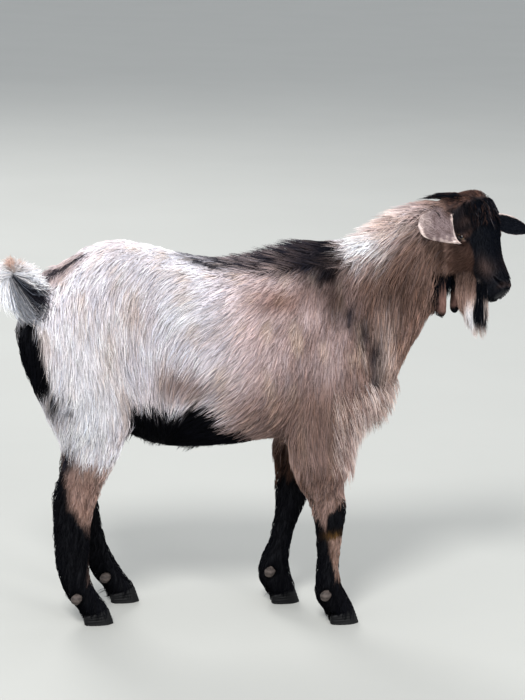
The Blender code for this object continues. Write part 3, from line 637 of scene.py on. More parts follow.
def head_lie(points):
    """Which way the hair of the head falls."""
    down, out, left = in_head(points).T
    side = np.sign(left) * ramp(np.abs(left), 0.0, 0.02)
    bridge = ramp(out, -0.045, -0.018)
    crown = ramp(down, -0.05, -0.074)
    downward, outward, leftward = HEAD_TURN
    lie = (1 - bridge)[:, None] * (-0.95 * outward - 0.3 * downward)
    lie += bridge[:, None] * (0.9 * downward)
    lie += (bridge * side * 0.45)[:, None] * leftward
    muzzle = ramp(down, 0.06, 0.1) * (1 - bridge)
    lie += muzzle[:, None] * (0.75 * downward)
    lie *= (1 - crown)[:, None]
    lie += crown[:, None] * (-1.0 * downward - 0.25 * outward)
    lie += (crown * side * 0.35)[:, None] * leftward
    lie[:, 2] -= 0.15
    return lie


def lie_of_coat(points, normals, parts):
    """Which way the hair lies at each place, flat on the skin."""
    lie = body_lie(points, normals)
    on_head = ramp(past_nape(points), -0.02, 0.02) * among(parts, "head", "beard", "neck")
    lie += (head_lie(points) - lie) * on_head[:, None]
    for side in SIDES:
        on_ear = among(parts, f"ear_{side}")
        lie[on_ear] = unit(np.array(EAR_TIP[side]) - points[on_ear])
    lie[among(parts, "wattle")] = (0.0, 0.0, -1.0)
    on_tail = among(parts, "tail")
    lie[on_tail] = unit(points[on_tail] - WHORL) * 0.6 + (0.0, 0.0, -0.5)
    return flat_on(lie, normals)


def coat_length(points, parts):
    """How long the hair grows at each place."""
    x, _, z = points.T
    length = np.interp(x, (-0.5, -0.35, -0.24, -0.15, -0.04, 0.08, 0.16, 0.25, 0.36),
                       (0.05, 0.056, 0.062, 0.05, 0.036, 0.036, 0.048, 0.06, 0.046))
    near_head = ramp(past_nape(points), -0.055, -0.004) * among(parts, "neck")
    length = length * (1 - 0.45 * near_head)
    underside = ramp(z, 0.48, 0.42) * among(parts, "trunk")
    length = length + 0.016 * underside
    for pair, top, bottom in (("hind", 0.42, 0.3), ("fore", 0.36, 0.27)):
        leg = among(parts, f"{pair}leg")
        length = np.where(leg, np.interp(z, (bottom, top), (0.022, 0.05)), length)
    return np.where(z < 0.12, np.interp(z, (0.05, 0.08), (0.042, 0.026)), length)


class Hide:
    """The finished skin, for hair to be rooted in and combed over."""

    def __init__(self, tint):
        self.tint = tint
        mesh = bpy.data.objects["skin"].data
        self.points = read(mesh.vertices, "co", 3)
        self.normals = read(mesh.vertex_normals, "vector", 3)
        mesh.calc_loop_triangles()
        self.triangles = read(mesh.loop_triangles, "vertices", 3, np.int32)
        loops = read(mesh.loop_triangles, "loops", 3, np.int32)
        self.unwrap = read(mesh.uv_layers["OFBake"].uv, "vector", 2)[loops]
        self.bald = read(mesh.attributes["bald"].data, "value", 1)[:, 0]
        self.depth = read(mesh.attributes["depth"].data, "value", 1)[:, 0]
        self.tree = BVHTree.FromPolygons(
            self.points.tolist(), self.triangles.tolist(), all_triangles=True)
        self.middles = self.points[self.triangles].mean(axis=1)
        self.parts = parts_at(self.middles)
        self.facing = unit(self.normals[self.triangles].mean(axis=1))

    def nearest(self, places):
        """The nearest places on the skin, its normals and coat depth there, and the unwrap's."""
        found = [self.tree.find_nearest(place) for place in places]
        spots = np.array([hit[0] for hit in found])
        hits = [hit[2] for hit in found]
        faces = self.triangles[hits]
        near = self.points[faces]
        gap = np.linalg.norm(near - spots[:, None, :], axis=2)
        share = 1.0 / np.maximum(gap, 1e-5)
        share /= share.sum(axis=1, keepdims=True)
        normals = unit((self.normals[faces] * share[:, :, None]).sum(axis=1))
        depth = (self.depth[faces] * share).sum(axis=1)
        return spots, normals, depth, self.unwrap[hits].mean(axis=1)

    def roots(self, wanted, spacing, seed):
        """Evenly strewn places on the skin, their places on its unwrap, and which way is out.

        wanted is the share of hair of each of the skin's triangles, from 0 to 1.
        """
        chance = np.random.default_rng(seed)
        corners = self.points[self.triangles]
        sides = np.cross(corners[:, 1] - corners[:, 0], corners[:, 2] - corners[:, 0])
        area = np.linalg.norm(sides, axis=1) / 2
        share = np.clip(wanted, 0.0, 1.0)
        share = share * (1 - self.bald[self.triangles].mean(axis=1))
        weight = area * (share > 0.02)
        count = int(weight.sum() / spacing ** 2 * 3.2)
        picked = chance.choice(len(area), count, p=weight / weight.sum())
        picked = picked[chance.uniform(size=count) < share[picked] ** 0.5]
        mix = chance.dirichlet((1.0, 1.0, 1.0), len(picked))
        places = (corners[picked] * mix[:, :, None]).sum(axis=1)
        cells = np.floor(places / spacing).astype(np.int64)
        kept = np.sort(np.unique(cells, axis=0, return_index=True)[1])
        unwrap = (self.unwrap[picked] * mix[:, :, None]).sum(axis=1)
        return places[kept], unwrap[kept], self.facing[picked[kept]]


# ------ strands
def stepped(count):
    """Numbers from 0 at the root to 1 at the tip."""
    return np.linspace(0.0, 1.0, count)


def comb(hide, places, length, points, seed, lift=1.0, free=0.0, gravity=0.22, heading=None):
    """Paths of hair from their roots, each a row of points, over the skin or hanging free.

    free is 0 for hair that clings to the skin and 1 for hair that hangs from it.
    """
    chance = np.random.default_rng(seed)
    count = len(places)
    free = np.broadcast_to(np.asarray(free, dtype=float), (count,))[:, None]
    length = np.broadcast_to(np.asarray(length, dtype=float), (count,))
    spots, normals, depth, _ = hide.nearest(places)
    parts = parts_at(spots)
    turn = chance.normal(0.0, STRAY, count)[:, None]
    rise = np.maximum(lift * depth * chance.uniform(0.62, 1.05, count), 0.0006)
    step = (length / (points - 1))[:, None]
    here = spots - normals * 0.0006
    path = [here]
    ahead = None
    for index in range(1, points):
        lie = lie_of_coat(spots, normals, parts)
        lie = unit(lie + np.cross(normals, lie) * turn)
        if ahead is None:
            ahead = lie if heading is None else unit(heading)
        hang = unit(ahead + np.array((0.0, 0.0, -gravity)))
        ahead = unit(lie * (1 - free) + hang * free)
        wished = here + ahead * step
        spots, normals, _, _ = hide.nearest(wished)
        t = index / (points - 1)
        height = rise * (0.3 + 0.7 * t ** 0.8)
        above = ((wished - spots) * normals).sum(axis=1)
        laid = spots + normals * height[:, None]
        hung = np.where((above > height * 0.5)[:, None], wished, laid)
        here = laid * (1 - free) + hung * free
        path.append(here)
    return np.stack(path, axis=1), parts


def gather(paths, reach, strength, seed):
    """Draw the tips of neighbouring hairs together into locks."""
    chance = np.random.default_rng(seed)
    cells = np.floor((paths[:, 0] + chance.uniform(0, reach, 3)) / reach).astype(np.int64)
    leaders, group = np.unique(cells, axis=0, return_index=True, return_inverse=True)[1:]
    group = group.reshape(-1)
    tree = search_tree(paths[leaders, 0])
    nearest = np.array([tree.find(place)[1] for place in paths[:, 0]])
    pull = strength * stepped(paths.shape[1]) ** 1.6
    target = paths[leaders[nearest]]
    return paths + (target - paths) * pull[None, :, None], nearest


def wave(paths, size, turns, seed):
    """Let hair wave from side to side and up and down."""
    chance = np.random.default_rng(seed)
    run = unit(np.gradient(paths, axis=1))
    side = unit(np.cross(run, (0.31, 0.22, 0.93)))
    lift = np.cross(run, side)
    t = stepped(paths.shape[1])[None, :, None]
    first, second = chance.uniform(0, 2 * pi, (2, len(paths), 1, 1))
    swing = np.sin(2 * pi * turns * t + first) - np.sin(first)
    swell = np.sin(2 * pi * turns * t + second) - np.sin(second)
    return paths + (side * swing + lift * swell * 0.6) * size


def strand_mesh(name, paths, girth, facing, colours, unwrap):
    """A mesh of open edges, one row of points for each strand, with all that a lock needs."""
    count, points, _ = paths.shape
    mesh = bpy.data.meshes.new(name)
    mesh.vertices.add(count * points)
    mesh.vertices.foreach_set("co", paths.reshape(-1).astype(np.float32))
    first = (np.arange(count)[:, None] * points + np.arange(points - 1)[None, :]).reshape(-1)
    mesh.edges.add(len(first))
    mesh.edges.foreach_set("vertices", np.stack([first, first + 1], axis=1).reshape(-1))
    store(mesh, "girth", "FLOAT", girth)
    store(mesh, "facing", "FLOAT_VECTOR", facing)
    store(mesh, "coat", "FLOAT_COLOR", colours)
    store(mesh, "along", "FLOAT", np.broadcast_to(stepped(points), (count, points)))
    store(mesh, "root", "FLOAT2", np.repeat(unwrap, points, axis=0))
    mesh.update()
    return mesh


def above_roots(paths):
    """The one place of each strand where the markings of short hair are read."""
    return paths[:, 1:2] * 0.6 + paths[:, 2:3] * 0.4


def shade_strands(paths, parts, tint, seed, groups, facing, contrast, places):
    """Each strand's colours from root to tip, by the markings at some places of each path, with
    painted shade towards the root and a little lighter at the tip.
    """
    chance = np.random.default_rng(seed)
    count, points, _ = paths.shape
    sample = places(paths)
    each = sample.shape[1]
    main = markings(sample.reshape(-1, 3), np.repeat(parts, each), tint,
                    np.repeat(facing, each, axis=0)).reshape(count, each, 3)
    tones = 1 + contrast * (
        0.17 * chance.normal(size=count) + 0.12 * chance.normal(size=groups.max() + 1)[groups])
    warmth = chance.normal(0.0, 0.03 * contrast, count)
    tones = np.clip(tones, 0.55, 1.5)[:, None, None]
    main = main * tones * (1 + warmth[:, None, None] * np.array((1.0, 0.0, -1.2)))
    t = stepped(points)
    # Painted shade: each strand is darker at its root, where the hair over it would shade it, and a
    # little lighter at its tip.
    shade = 1 - contrast * (0.48 - 0.54 * np.minimum(t * 1.5, 1.0))
    return np.clip(main * shade[None, :, None], 0.0, 0.93)


# ------ node helpers
class Value:
    """A socket in a node tree that takes part in sums."""

    def __init__(self, tree, socket):
        self.tree = tree
        self.socket = socket

    def math(self, operation, *others):
        """A Math node on this value and others."""
        inputs = dict(enumerate((self, *others)))
        return self.tree.node("Math", {"operation": operation}, inputs)

    def __add__(self, other):
        return self.math("ADD", other)

    def __sub__(self, other):
        return self.math("SUBTRACT", other)

    def __rsub__(self, other):
        return self.tree.node("Math", {"operation": "SUBTRACT"}, {0: other, 1: self})

    def __mul__(self, other):
        return self.math("MULTIPLY", other)

    def __truediv__(self, other):
        return self.math("DIVIDE", other)

    def __pow__(self, other):
        return self.math("POWER", other)

    __radd__ = __add__
    __rmul__ = __mul__


class Tree:
    """A node tree that is written as calls."""

    def __init__(self, nodes):
        self.nodes = nodes

    def node(self, kind, settings=None, inputs=None, output=0, **named):
        """Make a node, of a shader unless its kind says more, and fill its sockets."""
        made = self.nodes.nodes.new(kind if "Node" in kind else f"ShaderNode{kind}")
        for name, value in (settings or {}).items():
            if name == "stops":
                set_stops(made.color_ramp, value)
            else:
                setattr(made, name, value)
        for name, value in {**(inputs or {}), **named}.items():
            if isinstance(value, Value):
                self.nodes.links.new(value.socket, made.inputs[name])
            else:
                made.inputs[name].default_value = value
        return Value(self, made.outputs[output])

    def noise(self, place, scale, detail=3.0):
        """Noise from 0 to 1 over a piece's own coordinates."""
        return self.node(
            "TexNoise", Vector=place, Scale=scale, Detail=detail, Roughness=0.55)

    def bump(self, height, distance, strength):
        """A bump from a height between 0 and 1."""
        return self.node("Bump", Height=height, Distance=distance, Strength=strength)

    def brighten(self, colour, value):
        """A colour made lighter or darker."""
        return self.node("HueSaturation", Color=colour, Value=value)

    def mix(self, factor, first, second):
        """One colour turning into another."""
        return self.node(
            "Mix", {"data_type": "RGBA"}, {0: factor, 6: first, 7: second}, 2)

    def attribute(self, name, output=0):
        """The piece's own attribute: 0 as a colour, 1 as a vector, 2 as a number."""
        return self.node("Attribute", {"attribute_name": name}, output=output)


class Material(Tree):
    """A material with a Principled shader, and its tree."""

    def __init__(self, name, roughness, **constants):
        old = bpy.data.materials.get(name)
        if old:
            bpy.data.materials.remove(old)
        self.made = bpy.data.materials.new(name)
        self.made.use_nodes = True
        super().__init__(self.made.node_tree)
        self.sockets = self.nodes.nodes["Principled BSDF"].inputs
        for label, value in {"Roughness": roughness, **constants}.items():
            self.sockets[label.replace("_", " ")].default_value = value

    def feed(self, **links):
        """Link values to the shader's sockets, and give the material."""
        for label, value in links.items():
            self.nodes.links.new(value.socket, self.sockets[label.replace("_", " ")])
        return self.made


def set_stops(colour_ramp, stops):
    """Give a colour ramp its stops, each a place and a colour."""
    while len(colour_ramp.elements) > 1:
        colour_ramp.elements.remove(colour_ramp.elements[-1])
    colour_ramp.elements[0].position = stops[0][0]
    colour_ramp.elements[0].color = (*stops[0][1], 1.0)
    for place, colour in stops[1:]:
        colour_ramp.elements.new(place).color = (*colour, 1.0)


def coat_material():
    """Hair: the markings, with fine unevenness along every lock."""
    tree = Material("coat_hair", 0.6, Specular_IOR_Level=0.04)
    grain = tree.noise(tree.node("TexCoord", output=3), 420.0, 2.0)
    return tree.feed(Base_Color=tree.brighten(tree.attribute("coat"), 0.8 + 0.4 * grain),
                     Normal=tree.bump(grain, 0.0006, 0.6), Roughness=0.52 + 0.16 * grain)


def skin_material():
    """Skin under the hair, with the same markings darkened as painted shade under the hair, and
    bare leather on the nose and lips.
    """
    tree = Material("goat_skin", 0.65, Specular_IOR_Level=0.1)
    place = tree.node("TexCoord", output=3)
    bare = tree.attribute("leather", 2)
    fuzz = tree.noise(place, 700.0, 4.0)
    cells = tree.node(
        "TexVoronoi", {"feature": "DISTANCE_TO_EDGE"}, Vector=place, Scale=620.0)
    pebble = (cells * 3.0).math("MINIMUM", 1.0)
    height = fuzz * (1 - bare) + pebble * bare
    # Painted shade under the hair: the markings are a little darker on the skin, unevenly, and
    # darker still on bare leather.
    tone = 0.68 + 0.3 * fuzz + 0.16 * tree.noise(place, 90.0) - 0.12 * bare
    return tree.feed(
        Base_Color=tree.brighten(tree.attribute("coat"), tone),
        Roughness=0.7 - 0.34 * bare + 0.1 * (fuzz - 0.5), Normal=tree.bump(height, 0.0005, 0.8))


PUPIL_WIDTH = 0.4
PUPIL_HEIGHT = 0.15
PUPIL_BLACK = (0.004, 0.004, 0.006, 1.0)
IRIS_STOPS = (
    (0.0, (0.012, 0.007, 0.004)), (0.36, (0.03, 0.016, 0.007)), (0.5, (0.06, 0.033, 0.014)),
    (0.62, (0.02, 0.012, 0.008)), (0.7, (0.006, 0.005, 0.005)))


def eye_material():
    """An amber eye with a level slot of a pupil under a wet cornea."""
    tree = Material("eye_amber", 0.12, Coat_Weight=0.25)
    gaze = tree.attribute("gaze", 1)
    across, up = (tree.node("SeparateXYZ", output=axis, Vector=gaze)
                  for axis in range(2))
    ring = (across ** 2.0 + up ** 2.0) ** 0.5
    spoke = tree.node("CombineXYZ", X=ring * 3.0, Y=up.math("ARCTAN2", across) * 6.0)
    fibres = tree.noise(spoke, 2.2, 4.0)
    amber = tree.node(
        "ValToRGB", {"stops": IRIS_STOPS}, Fac=ring * 0.9 + (fibres - 0.5) * 0.1)
    slot = ((across.math("ABSOLUTE") / PUPIL_WIDTH) ** 4.0
            + (up.math("ABSOLUTE") / PUPIL_HEIGHT) ** 4.0)
    iris = ((slot - 0.8) * 4.0).math("MINIMUM", 1.0).math("MAXIMUM", 0.0)
    return tree.feed(Base_Color=tree.mix(iris, PUPIL_BLACK, amber))


def horn_material(name, dark, light, rings):
    """Horn with fine grain down it and growth rings round it."""
    tree = Material(name, 0.5, Specular_IOR_Level=0.15)
    place = tree.node("TexCoord", output=3)
    stretched = tree.node("Mapping", Vector=place, Scale=(900.0, 900.0, 60.0))
    grain = tree.node("TexNoise", Vector=stretched, Scale=1.0)
    height = tree.node("SeparateXYZ", output=2, Vector=place)
    ring = (height * rings + tree.noise(place, 60.0) * 2.0).math("SINE") * 0.5 + 0.5
    dust = tree.noise(place, 110.0, 5.0)
    tone = grain * 0.55 + ring * 0.25 + dust * 0.45 - 0.25
    return tree.feed(
        Base_Color=tree.mix(tone, (*linear(dark), 1.0), (*linear(light), 1.0)),
        Roughness=0.42 + 0.3 * dust, Normal=tree.bump(grain * 0.5 + ring * 0.5, 0.0007, 0.7))


def floor_material(colour):
    """A plain pale floor with a faint unevenness."""
    tree = Material("floor_matt", 0.9)
    cloud = tree.noise(tree.node("TexCoord", output=3), 1.5, 4.0)
    pale = linear(colour)
    return tree.feed(
        Base_Color=tree.mix(cloud, (*(pale * 0.96), 1.0), (*np.minimum(pale * 1.04, 1.0), 1.0)))


# ------ the tree that grows locks
LOCK_SIZES = (("Thickness", "Float", 1.0), ("Flatness", "Float", 0.55),
              ("Unevenness", "Float", 0.25), ("Seed", "Int", 7), ("Patch", "Float", 0.003))


def locks_tree(material):
    """Turns rows of points into closed, tapering, flattened locks of hair."""
    old = bpy.data.node_groups.get("Locks")
    if old:
        return old
    group = bpy.data.node_groups.new("Locks", "GeometryNodeTree")
    for way in ("INPUT", "OUTPUT"):
        group.interface.new_socket("Geometry", in_out=way, socket_type="NodeSocketGeometry")
    for name, kind, default in LOCK_SIZES:
        socket = group.interface.new_socket(
            name, in_out="INPUT", socket_type=f"NodeSocket{kind}")
        socket.default_value = default
    tree = Tree(group)
    entry = group.nodes.new("NodeGroupInput")
    given = {socket.name: Value(tree, socket) for socket in entry.outputs if socket.name}

    def stored(name, kind="FLOAT"):
        """A named attribute of the strands."""
        return tree.node("GeometryNodeInputNamedAttribute", {"data_type": kind}, Name=name)

    curves = tree.node("GeometryNodeMeshToCurve", Mesh=given["Geometry"])
    curves = tree.node("GeometryNodeSetCurveNormal", {"mode": "FREE"}, Curve=curves,
                       Normal=stored("facing", "FLOAT_VECTOR"))
    ring = tree.node(
        "GeometryNodeCurvePrimitiveCircle", {"mode": "RADIUS"}, Resolution=3, Radius=1.0)
    ring = tree.node("GeometryNodeStoreNamedAttribute", {"data_type": "FLOAT", "domain": "POINT"},
                     Geometry=ring, Name="across", Value=tree.node("GeometryNodeSplineParameter"))
    flat = tree.node("CombineXYZ", X=1.0, Y=given["Flatness"], Z=1.0)
    ring = tree.node("GeometryNodeTransform", Geometry=ring, Scale=flat)
    chance = tree.node(
        "FunctionNodeRandomValue", {"data_type": "FLOAT"}, {2: -0.5, 3: 0.5}, 1, Seed=given["Seed"])
    girth = stored("girth") * given["Thickness"] * (1 + given["Unevenness"] * chance)
    solid = tree.node("GeometryNodeCurveToMesh", None, {"Profile Curve": ring, "Fill Caps": True},
                      Curve=curves, Scale=girth)
    offset = tree.node("CombineXYZ", X=(stored("across") - 0.5) * given["Patch"],
                       Y=stored("along") * given["Patch"])
    place = tree.node(
        "VectorMath", {"operation": "ADD"}, {0: stored("root", "FLOAT_VECTOR"), 1: offset})
    solid = tree.node(
        "GeometryNodeStoreNamedAttribute", {"data_type": "FLOAT2", "domain": "CORNER"},
        Geometry=solid, Name="OFBake", Value=place)
    solid = tree.node("GeometryNodeSetShadeSmooth", Geometry=solid)
    solid = tree.node("GeometryNodeRealizeInstances", Geometry=solid)
    solid = tree.node("GeometryNodeSetMaterial", Geometry=solid, Material=material)
    leave = group.nodes.new("NodeGroupOutput")
    group.links.new(solid.socket, leave.inputs[0])
    return group


def grow_locks(name, strands, slot, **sizes):
    """A coat piece from a mesh of strands, by the tree of locks."""
    group = locks_tree(bpy.data.materials.get("coat_hair") or coat_material())
    source = show(f"{name}_strands", strands)
    modifier = source.modifiers.new("Locks", "NODES")
    modifier.node_group = group
    for item in group.interface.items_tree:
        if item.in_out == "INPUT" and item.name in sizes:
            modifier[item.identifier] = sizes[item.name]
    mesh = settle(source)
    bpy.data.meshes.remove(strands)
    for spare in ("girth", "facing", "root", "along", "across"):
        if spare in mesh.attributes:
            mesh.attributes.remove(mesh.attributes[spare])
    mesh.name = name
    piece = show(name, mesh)
    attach(piece, BODY)
    return piece


# ------ the skin
WELD = 0.00002
EAR_CUT = {"right": ((0.347, -0.026, 0.853), (-0.35, -0.93, 0.05)),
           "left": ((0.44, 0.01, 0.83), (0.86, 0.3, -0.4))}
TAIL_CORE = (Vector((-0.44, 0.0, 0.69)), Vector((-0.52, 0.0, 0.712)))


def merged(names, swell=0.0):
    """Copies of some nodes in one mesh, their corners merged and pushed out a little."""
    mesh = bmesh.new()
    for name in names:
        mesh.from_mesh(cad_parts[name].data)
    bmesh.ops.remove_doubles(mesh, verts=mesh.verts, dist=WELD)
    mesh.normal_update()
    for vertex in mesh.verts:
        vertex.co += vertex.normal * swell
    return mesh


def thin_tail(mesh):
    """Draw the tail in to the core that its hair grows from."""
    start, stop = TAIL_CORE
    line = stop - start
    for vertex in mesh.verts:
        t = (vertex.co - start).dot(line) / line.length_squared
        core = start + line * min(max(t, -0.2), 1.0)
        vertex.co = core + (vertex.co - core) * 0.34
        if t < 0.25:
            vertex.co.x += 0.03


def lift_fringe(mesh):
    """Take the hanging hair of the chest off the trunk's underside."""
    for vertex in mesh.verts:
        x, y, z = vertex.co
        if x > 0.178 and z < 0.43 or x > 0.1 and abs(y) < 0.034 and z < 0.405:
            floor = 0.43 if x > 0.178 else 0.405
            vertex.co.z = floor + (z - floor) * 0.15
            vertex.co.x = x - max(x - 0.2, 0.0) * 0.45


def shrink_claw(mesh):
    """A plug of flesh that stands inside a claw."""
    centre = sum((vertex.co for vertex in mesh.verts), Vector()) / len(mesh.verts)
    for vertex in mesh.verts:
        vertex.co.x = centre.x + (vertex.co.x - centre.x) * 0.76
        vertex.co.y = centre.y + (vertex.co.y - centre.y) * 0.7
        vertex.co.z = max(vertex.co.z, 0.01) + 0.003


def ear_root(side):
    """The length of an ear that is rooted in the head."""
    mesh = merged([f"ear_{side}"], 0.0012)
    place, outward = EAR_CUT[side]
    cut = bmesh.ops.bisect_plane(
        mesh, geom=[*mesh.verts, *mesh.edges, *mesh.faces], plane_co=place, plane_no=outward,
        clear_outer=True)
    edges = [item for item in cut["geom_cut"] if isinstance(item, bmesh.types.BMEdge)]
    bmesh.ops.holes_fill(mesh, edges=edges, sides=0)
    return mesh


def fused_flesh(voxel):
    """All the flesh but the ears' leaves, run together into one closed mesh."""
    whole = bmesh.new()
    batches = [
        (merged(["trunk"], 0.0008), lift_fringe), (merged(["tail"]), thin_tail),
        (merged(["neck", "head", *LEGS], 0.0008), None),
        (merged([f"wattle_{side}" for side in SIDES], 0.0012), None),
        (merged([f"eye_{side}" for side in SIDES], 0.0012), None)]
    batches += [(merged([claw]), shrink_claw) for claw in CLAWS]
    batches += [(ear_root(side), None) for side in SIDES]
    for mesh, reshape in batches:
        if reshape:
            reshape(mesh)
        part = mesh_of(mesh, "part")
        whole.from_mesh(part)
        bpy.data.meshes.remove(part)
    flesh = show("flesh", mesh_of(whole, "flesh"))
    remesh = flesh.modifiers.new("Remesh", "REMESH")
    remesh.mode = "VOXEL"
    remesh.voxel_size = voxel
    return settle(flesh)


def refine(mesh, wanted):
    """Cut the faces finer where wanted says so of the mesh's vertices."""
    grid = bmesh.new()
    grid.from_mesh(mesh)
    fine = wanted(np.array([vertex.co[:] for vertex in grid.verts]))
    edges = [edge for edge in grid.edges
             if fine[edge.verts[0].index] and fine[edge.verts[1].index]]
    bmesh.ops.subdivide_edges(grid, edges=edges, cuts=1, use_grid_fill=True)
    grid.to_mesh(mesh)
    grid.free()


class Surface:
    """A mesh as arrays, for smoothing and sculpting."""

    def __init__(self, mesh):
        self.mesh = mesh
        self.points = read(mesh.vertices, "co", 3)
        self.edges = read(mesh.edges, "vertices", 2, np.int32)
        self.degree = np.bincount(self.edges.ravel(), minlength=len(self.points)).astype(float)

    def spread(self, values):
        """The mean of each vertex's neighbours."""
        values = values.reshape(len(self.points), -1)
        first, second = self.edges.T
        total = np.stack([np.bincount(first, column[second], len(self.points))
                          + np.bincount(second, column[first], len(self.points))
                          for column in values.T], axis=1)
        return total / self.degree[:, None]

    def smooth(self, rounds, share=0.5, mask=None):
        """Relax the vertices towards their neighbours."""
        for _ in range(rounds):
            move = (self.spread(self.points) - self.points) * share
            self.points += move if mask is None else move * mask[:, None]

    def even(self, values, rounds):
        """Values smoothed over the surface."""
        values = values.reshape(len(self.points), -1)
        for _ in range(rounds):
            values = values * 0.4 + self.spread(values) * 0.6
        return values

    def normals(self, rounds=0):
        """The surface's normals, smoothed."""
        self.write()
        return unit(self.even(read(self.mesh.vertex_normals, "vector", 3), rounds))

    def write(self):
        """Put the points back into the mesh."""
        self.mesh.vertices.foreach_set("co", self.points.astype(np.float32).reshape(-1))
        self.mesh.update()


def flesh_depth(points, parts):
    """How far the skin lies below the outside of the coat."""
    depth = np.array([DEPTH_OF[part] for part in parts])
    place = in_head(points)
    tuft = 0.007 * blob(place, (-0.045, 0.018, 0.0), (0.035, 0.025, 0.03))
    crown = 0.003 * blob(place, (-0.085, -0.02, 0.0), (0.02, 0.04, 0.05))
    depth = depth + (tuft + crown) * (past_nape(points) > 0)
    back = among(parts, "hindleg_lower", "foreleg_lower") * ramp(points[:, 2], 0.09, 0.14)
    return depth + 0.001 * back


# The eye's own frame: along its slit to the nose, up across it, and out of the head.
EYE_SIZE = 0.014
SLIT_HALF = 0.0094
SLIT_RISE = 0.0036
SLIT_DROP = 0.003
LID = 0.0016


def eye_frame(side):
    """An eye's centre and its three directions, as rows."""
    sign = SIDES[side]
    outward = (HEAD_LEFT * sign * 0.93 + HEAD_OUT * 0.26 - HEAD_DOWN * 0.1).normalized()
    slit = HEAD_DOWN * 0.8 + HEAD_OUT * 0.6
    slit = (slit - outward * slit.dot(outward)).normalized()
    rise = outward.cross(slit) * -sign
    if rise.z < 0:
        rise = -rise
    return np.array(middle(f"eye_{side}")), np.array([slit, rise, outward])


def in_eye(points, side):
    """Places given along an eye's slit, up across it, and out of the head."""
    centre, axes = eye_frame(side)
    return (points - centre) @ axes.T


def slit_measure(local):
    """How far outside the slit between the lids a place is: 1 on the lids' edge."""
    reach = np.where(local[:, 1] > 0, SLIT_RISE, SLIT_DROP)
    return np.sqrt((local[:, 0] / SLIT_HALF) ** 2 + (local[:, 1] / reach) ** 2)


def sculpt_eye(surface, side):
    """Close the skin over the eyeball as two lids, and open the slit between them."""
    centre, axes = eye_frame(side)
    local = (surface.points - centre) @ axes.T
    wide = np.hypot(local[:, 0], local[:, 1])
    near = (wide < 0.03) & (local[:, 2] > -0.004)
    here = local[near]
    away = np.linalg.norm(here, axis=1)
    measure = slit_measure(here)
    rim = 0.0006 * np.exp(-((measure - 1.13) / 0.14) ** 2)
    crease = 0.0011 * np.exp(-((measure - 1.75) / 0.16) ** 2) * (here[:, 1] > -0.002)
    under = 0.0007 * np.exp(-((measure - 2.0) / 0.2) ** 2) * (here[:, 1] < 0.0)
    shell = EYE_SIZE + LID + rim - crease - under
    opened = ramp(measure, 1.04, 0.92)
    shell = shell * (1 - opened) + (EYE_SIZE - 0.004) * opened
    blend = ramp(wide[near], 0.0215, 0.0125)
    target = here * (shell / np.maximum(away, 1e-6))[:, None]
    here = here + (target - here) * blend[:, None]
    surface.points[near] = centre + here @ axes


NOSTRIL = ((0.0965, -0.0235, 0.023), (0.104, -0.0225, 0.021), (0.111, -0.022, 0.0165),
           (0.1165, -0.0235, 0.009))
MOUTH = ((0.134, -0.06, 0.0), (0.129, -0.0635, 0.012), (0.118, -0.0655, 0.024),
         (0.106, -0.064, 0.032), (0.0965, -0.06, 0.035))


# Forms of the face: how high each stands, its middle in the head's frame, and its radii.
FACE_FORMS = (
    (0.003, (-0.02, -0.02, 0.052), (0.013, 0.012, 0.02)),
    (0.0022, (0.018, -0.05, 0.05), (0.022, 0.01, 0.02)),
    (0.002, (-0.005, -0.095, 0.055), (0.03, 0.025, 0.03)),
    (-0.0022, (0.03, -0.028, 0.045), (0.012, 0.01, 0.016)),
    (-0.002, (0.06, -0.048, 0.04), (0.02, 0.014, 0.02)),
    (-0.0016, (0.055, -0.012, 0.0), (0.03, 0.02, 0.01)),
    (0.0016, (0.114, -0.02, 0.016), (0.01, 0.008, 0.008)),
    (0.0018, (0.118, -0.052, 0.022), (0.012, 0.007, 0.014)),
    (0.0016, (0.112, -0.076, 0.016), (0.012, 0.007, 0.016)),
    (-0.0014, (0.131, -0.046, 0.0), (0.01, 0.016, 0.0016)),
)


def from_path(points, path):
    """How far places lie from a path of straight runs, and how far along it, 0 to 1."""
    best = np.full(len(points), 1e9)
    along_path = np.zeros(len(points))
    runs = len(path) - 1
    for index, (start, stop) in enumerate(zip(path, path[1:])):
        start, line = np.asarray(start), np.asarray(stop) - np.asarray(start)
        t = np.clip((points - start) @ line / (line @ line), 0.0, 1.0)
        gap = np.linalg.norm(points - start - t[:, None] * line, axis=1)
        closer = gap < best
        best = np.where(closer, gap, best)
        along_path = np.where(closer, (index + t) / runs, along_path)
    return best, along_path


def sculpt_face(surface):
    """Brows, cheekbones, jaw, nose and mouth, as moves along the skin's own normals."""
    normals = surface.normals(2)
    folded = in_half_head(surface.points)
    on_head = ramp(past_nape(surface.points), 0.002, 0.015)
    push = sum(height * blob(folded, centre, radii) for height, centre, radii in FACE_FORMS)
    gap, run = from_path(folded, MOUTH)
    push -= 0.0034 * np.exp(-(gap / 0.0022) ** 2) * (1 - 0.6 * run)
    push += 0.0009 * np.exp(-((gap - 0.0045) / 0.0022) ** 2)
    gap, run = from_path(folded, NOSTRIL)
    half = 0.0024 + 0.0016 * run
    push -= 0.0075 * ramp(gap, half * 1.25, half * 0.45)
    push += 0.0012 * np.exp(-((gap - half * 1.8) / 0.0018) ** 2)
    surface.points += normals * (push * on_head)[:, None]


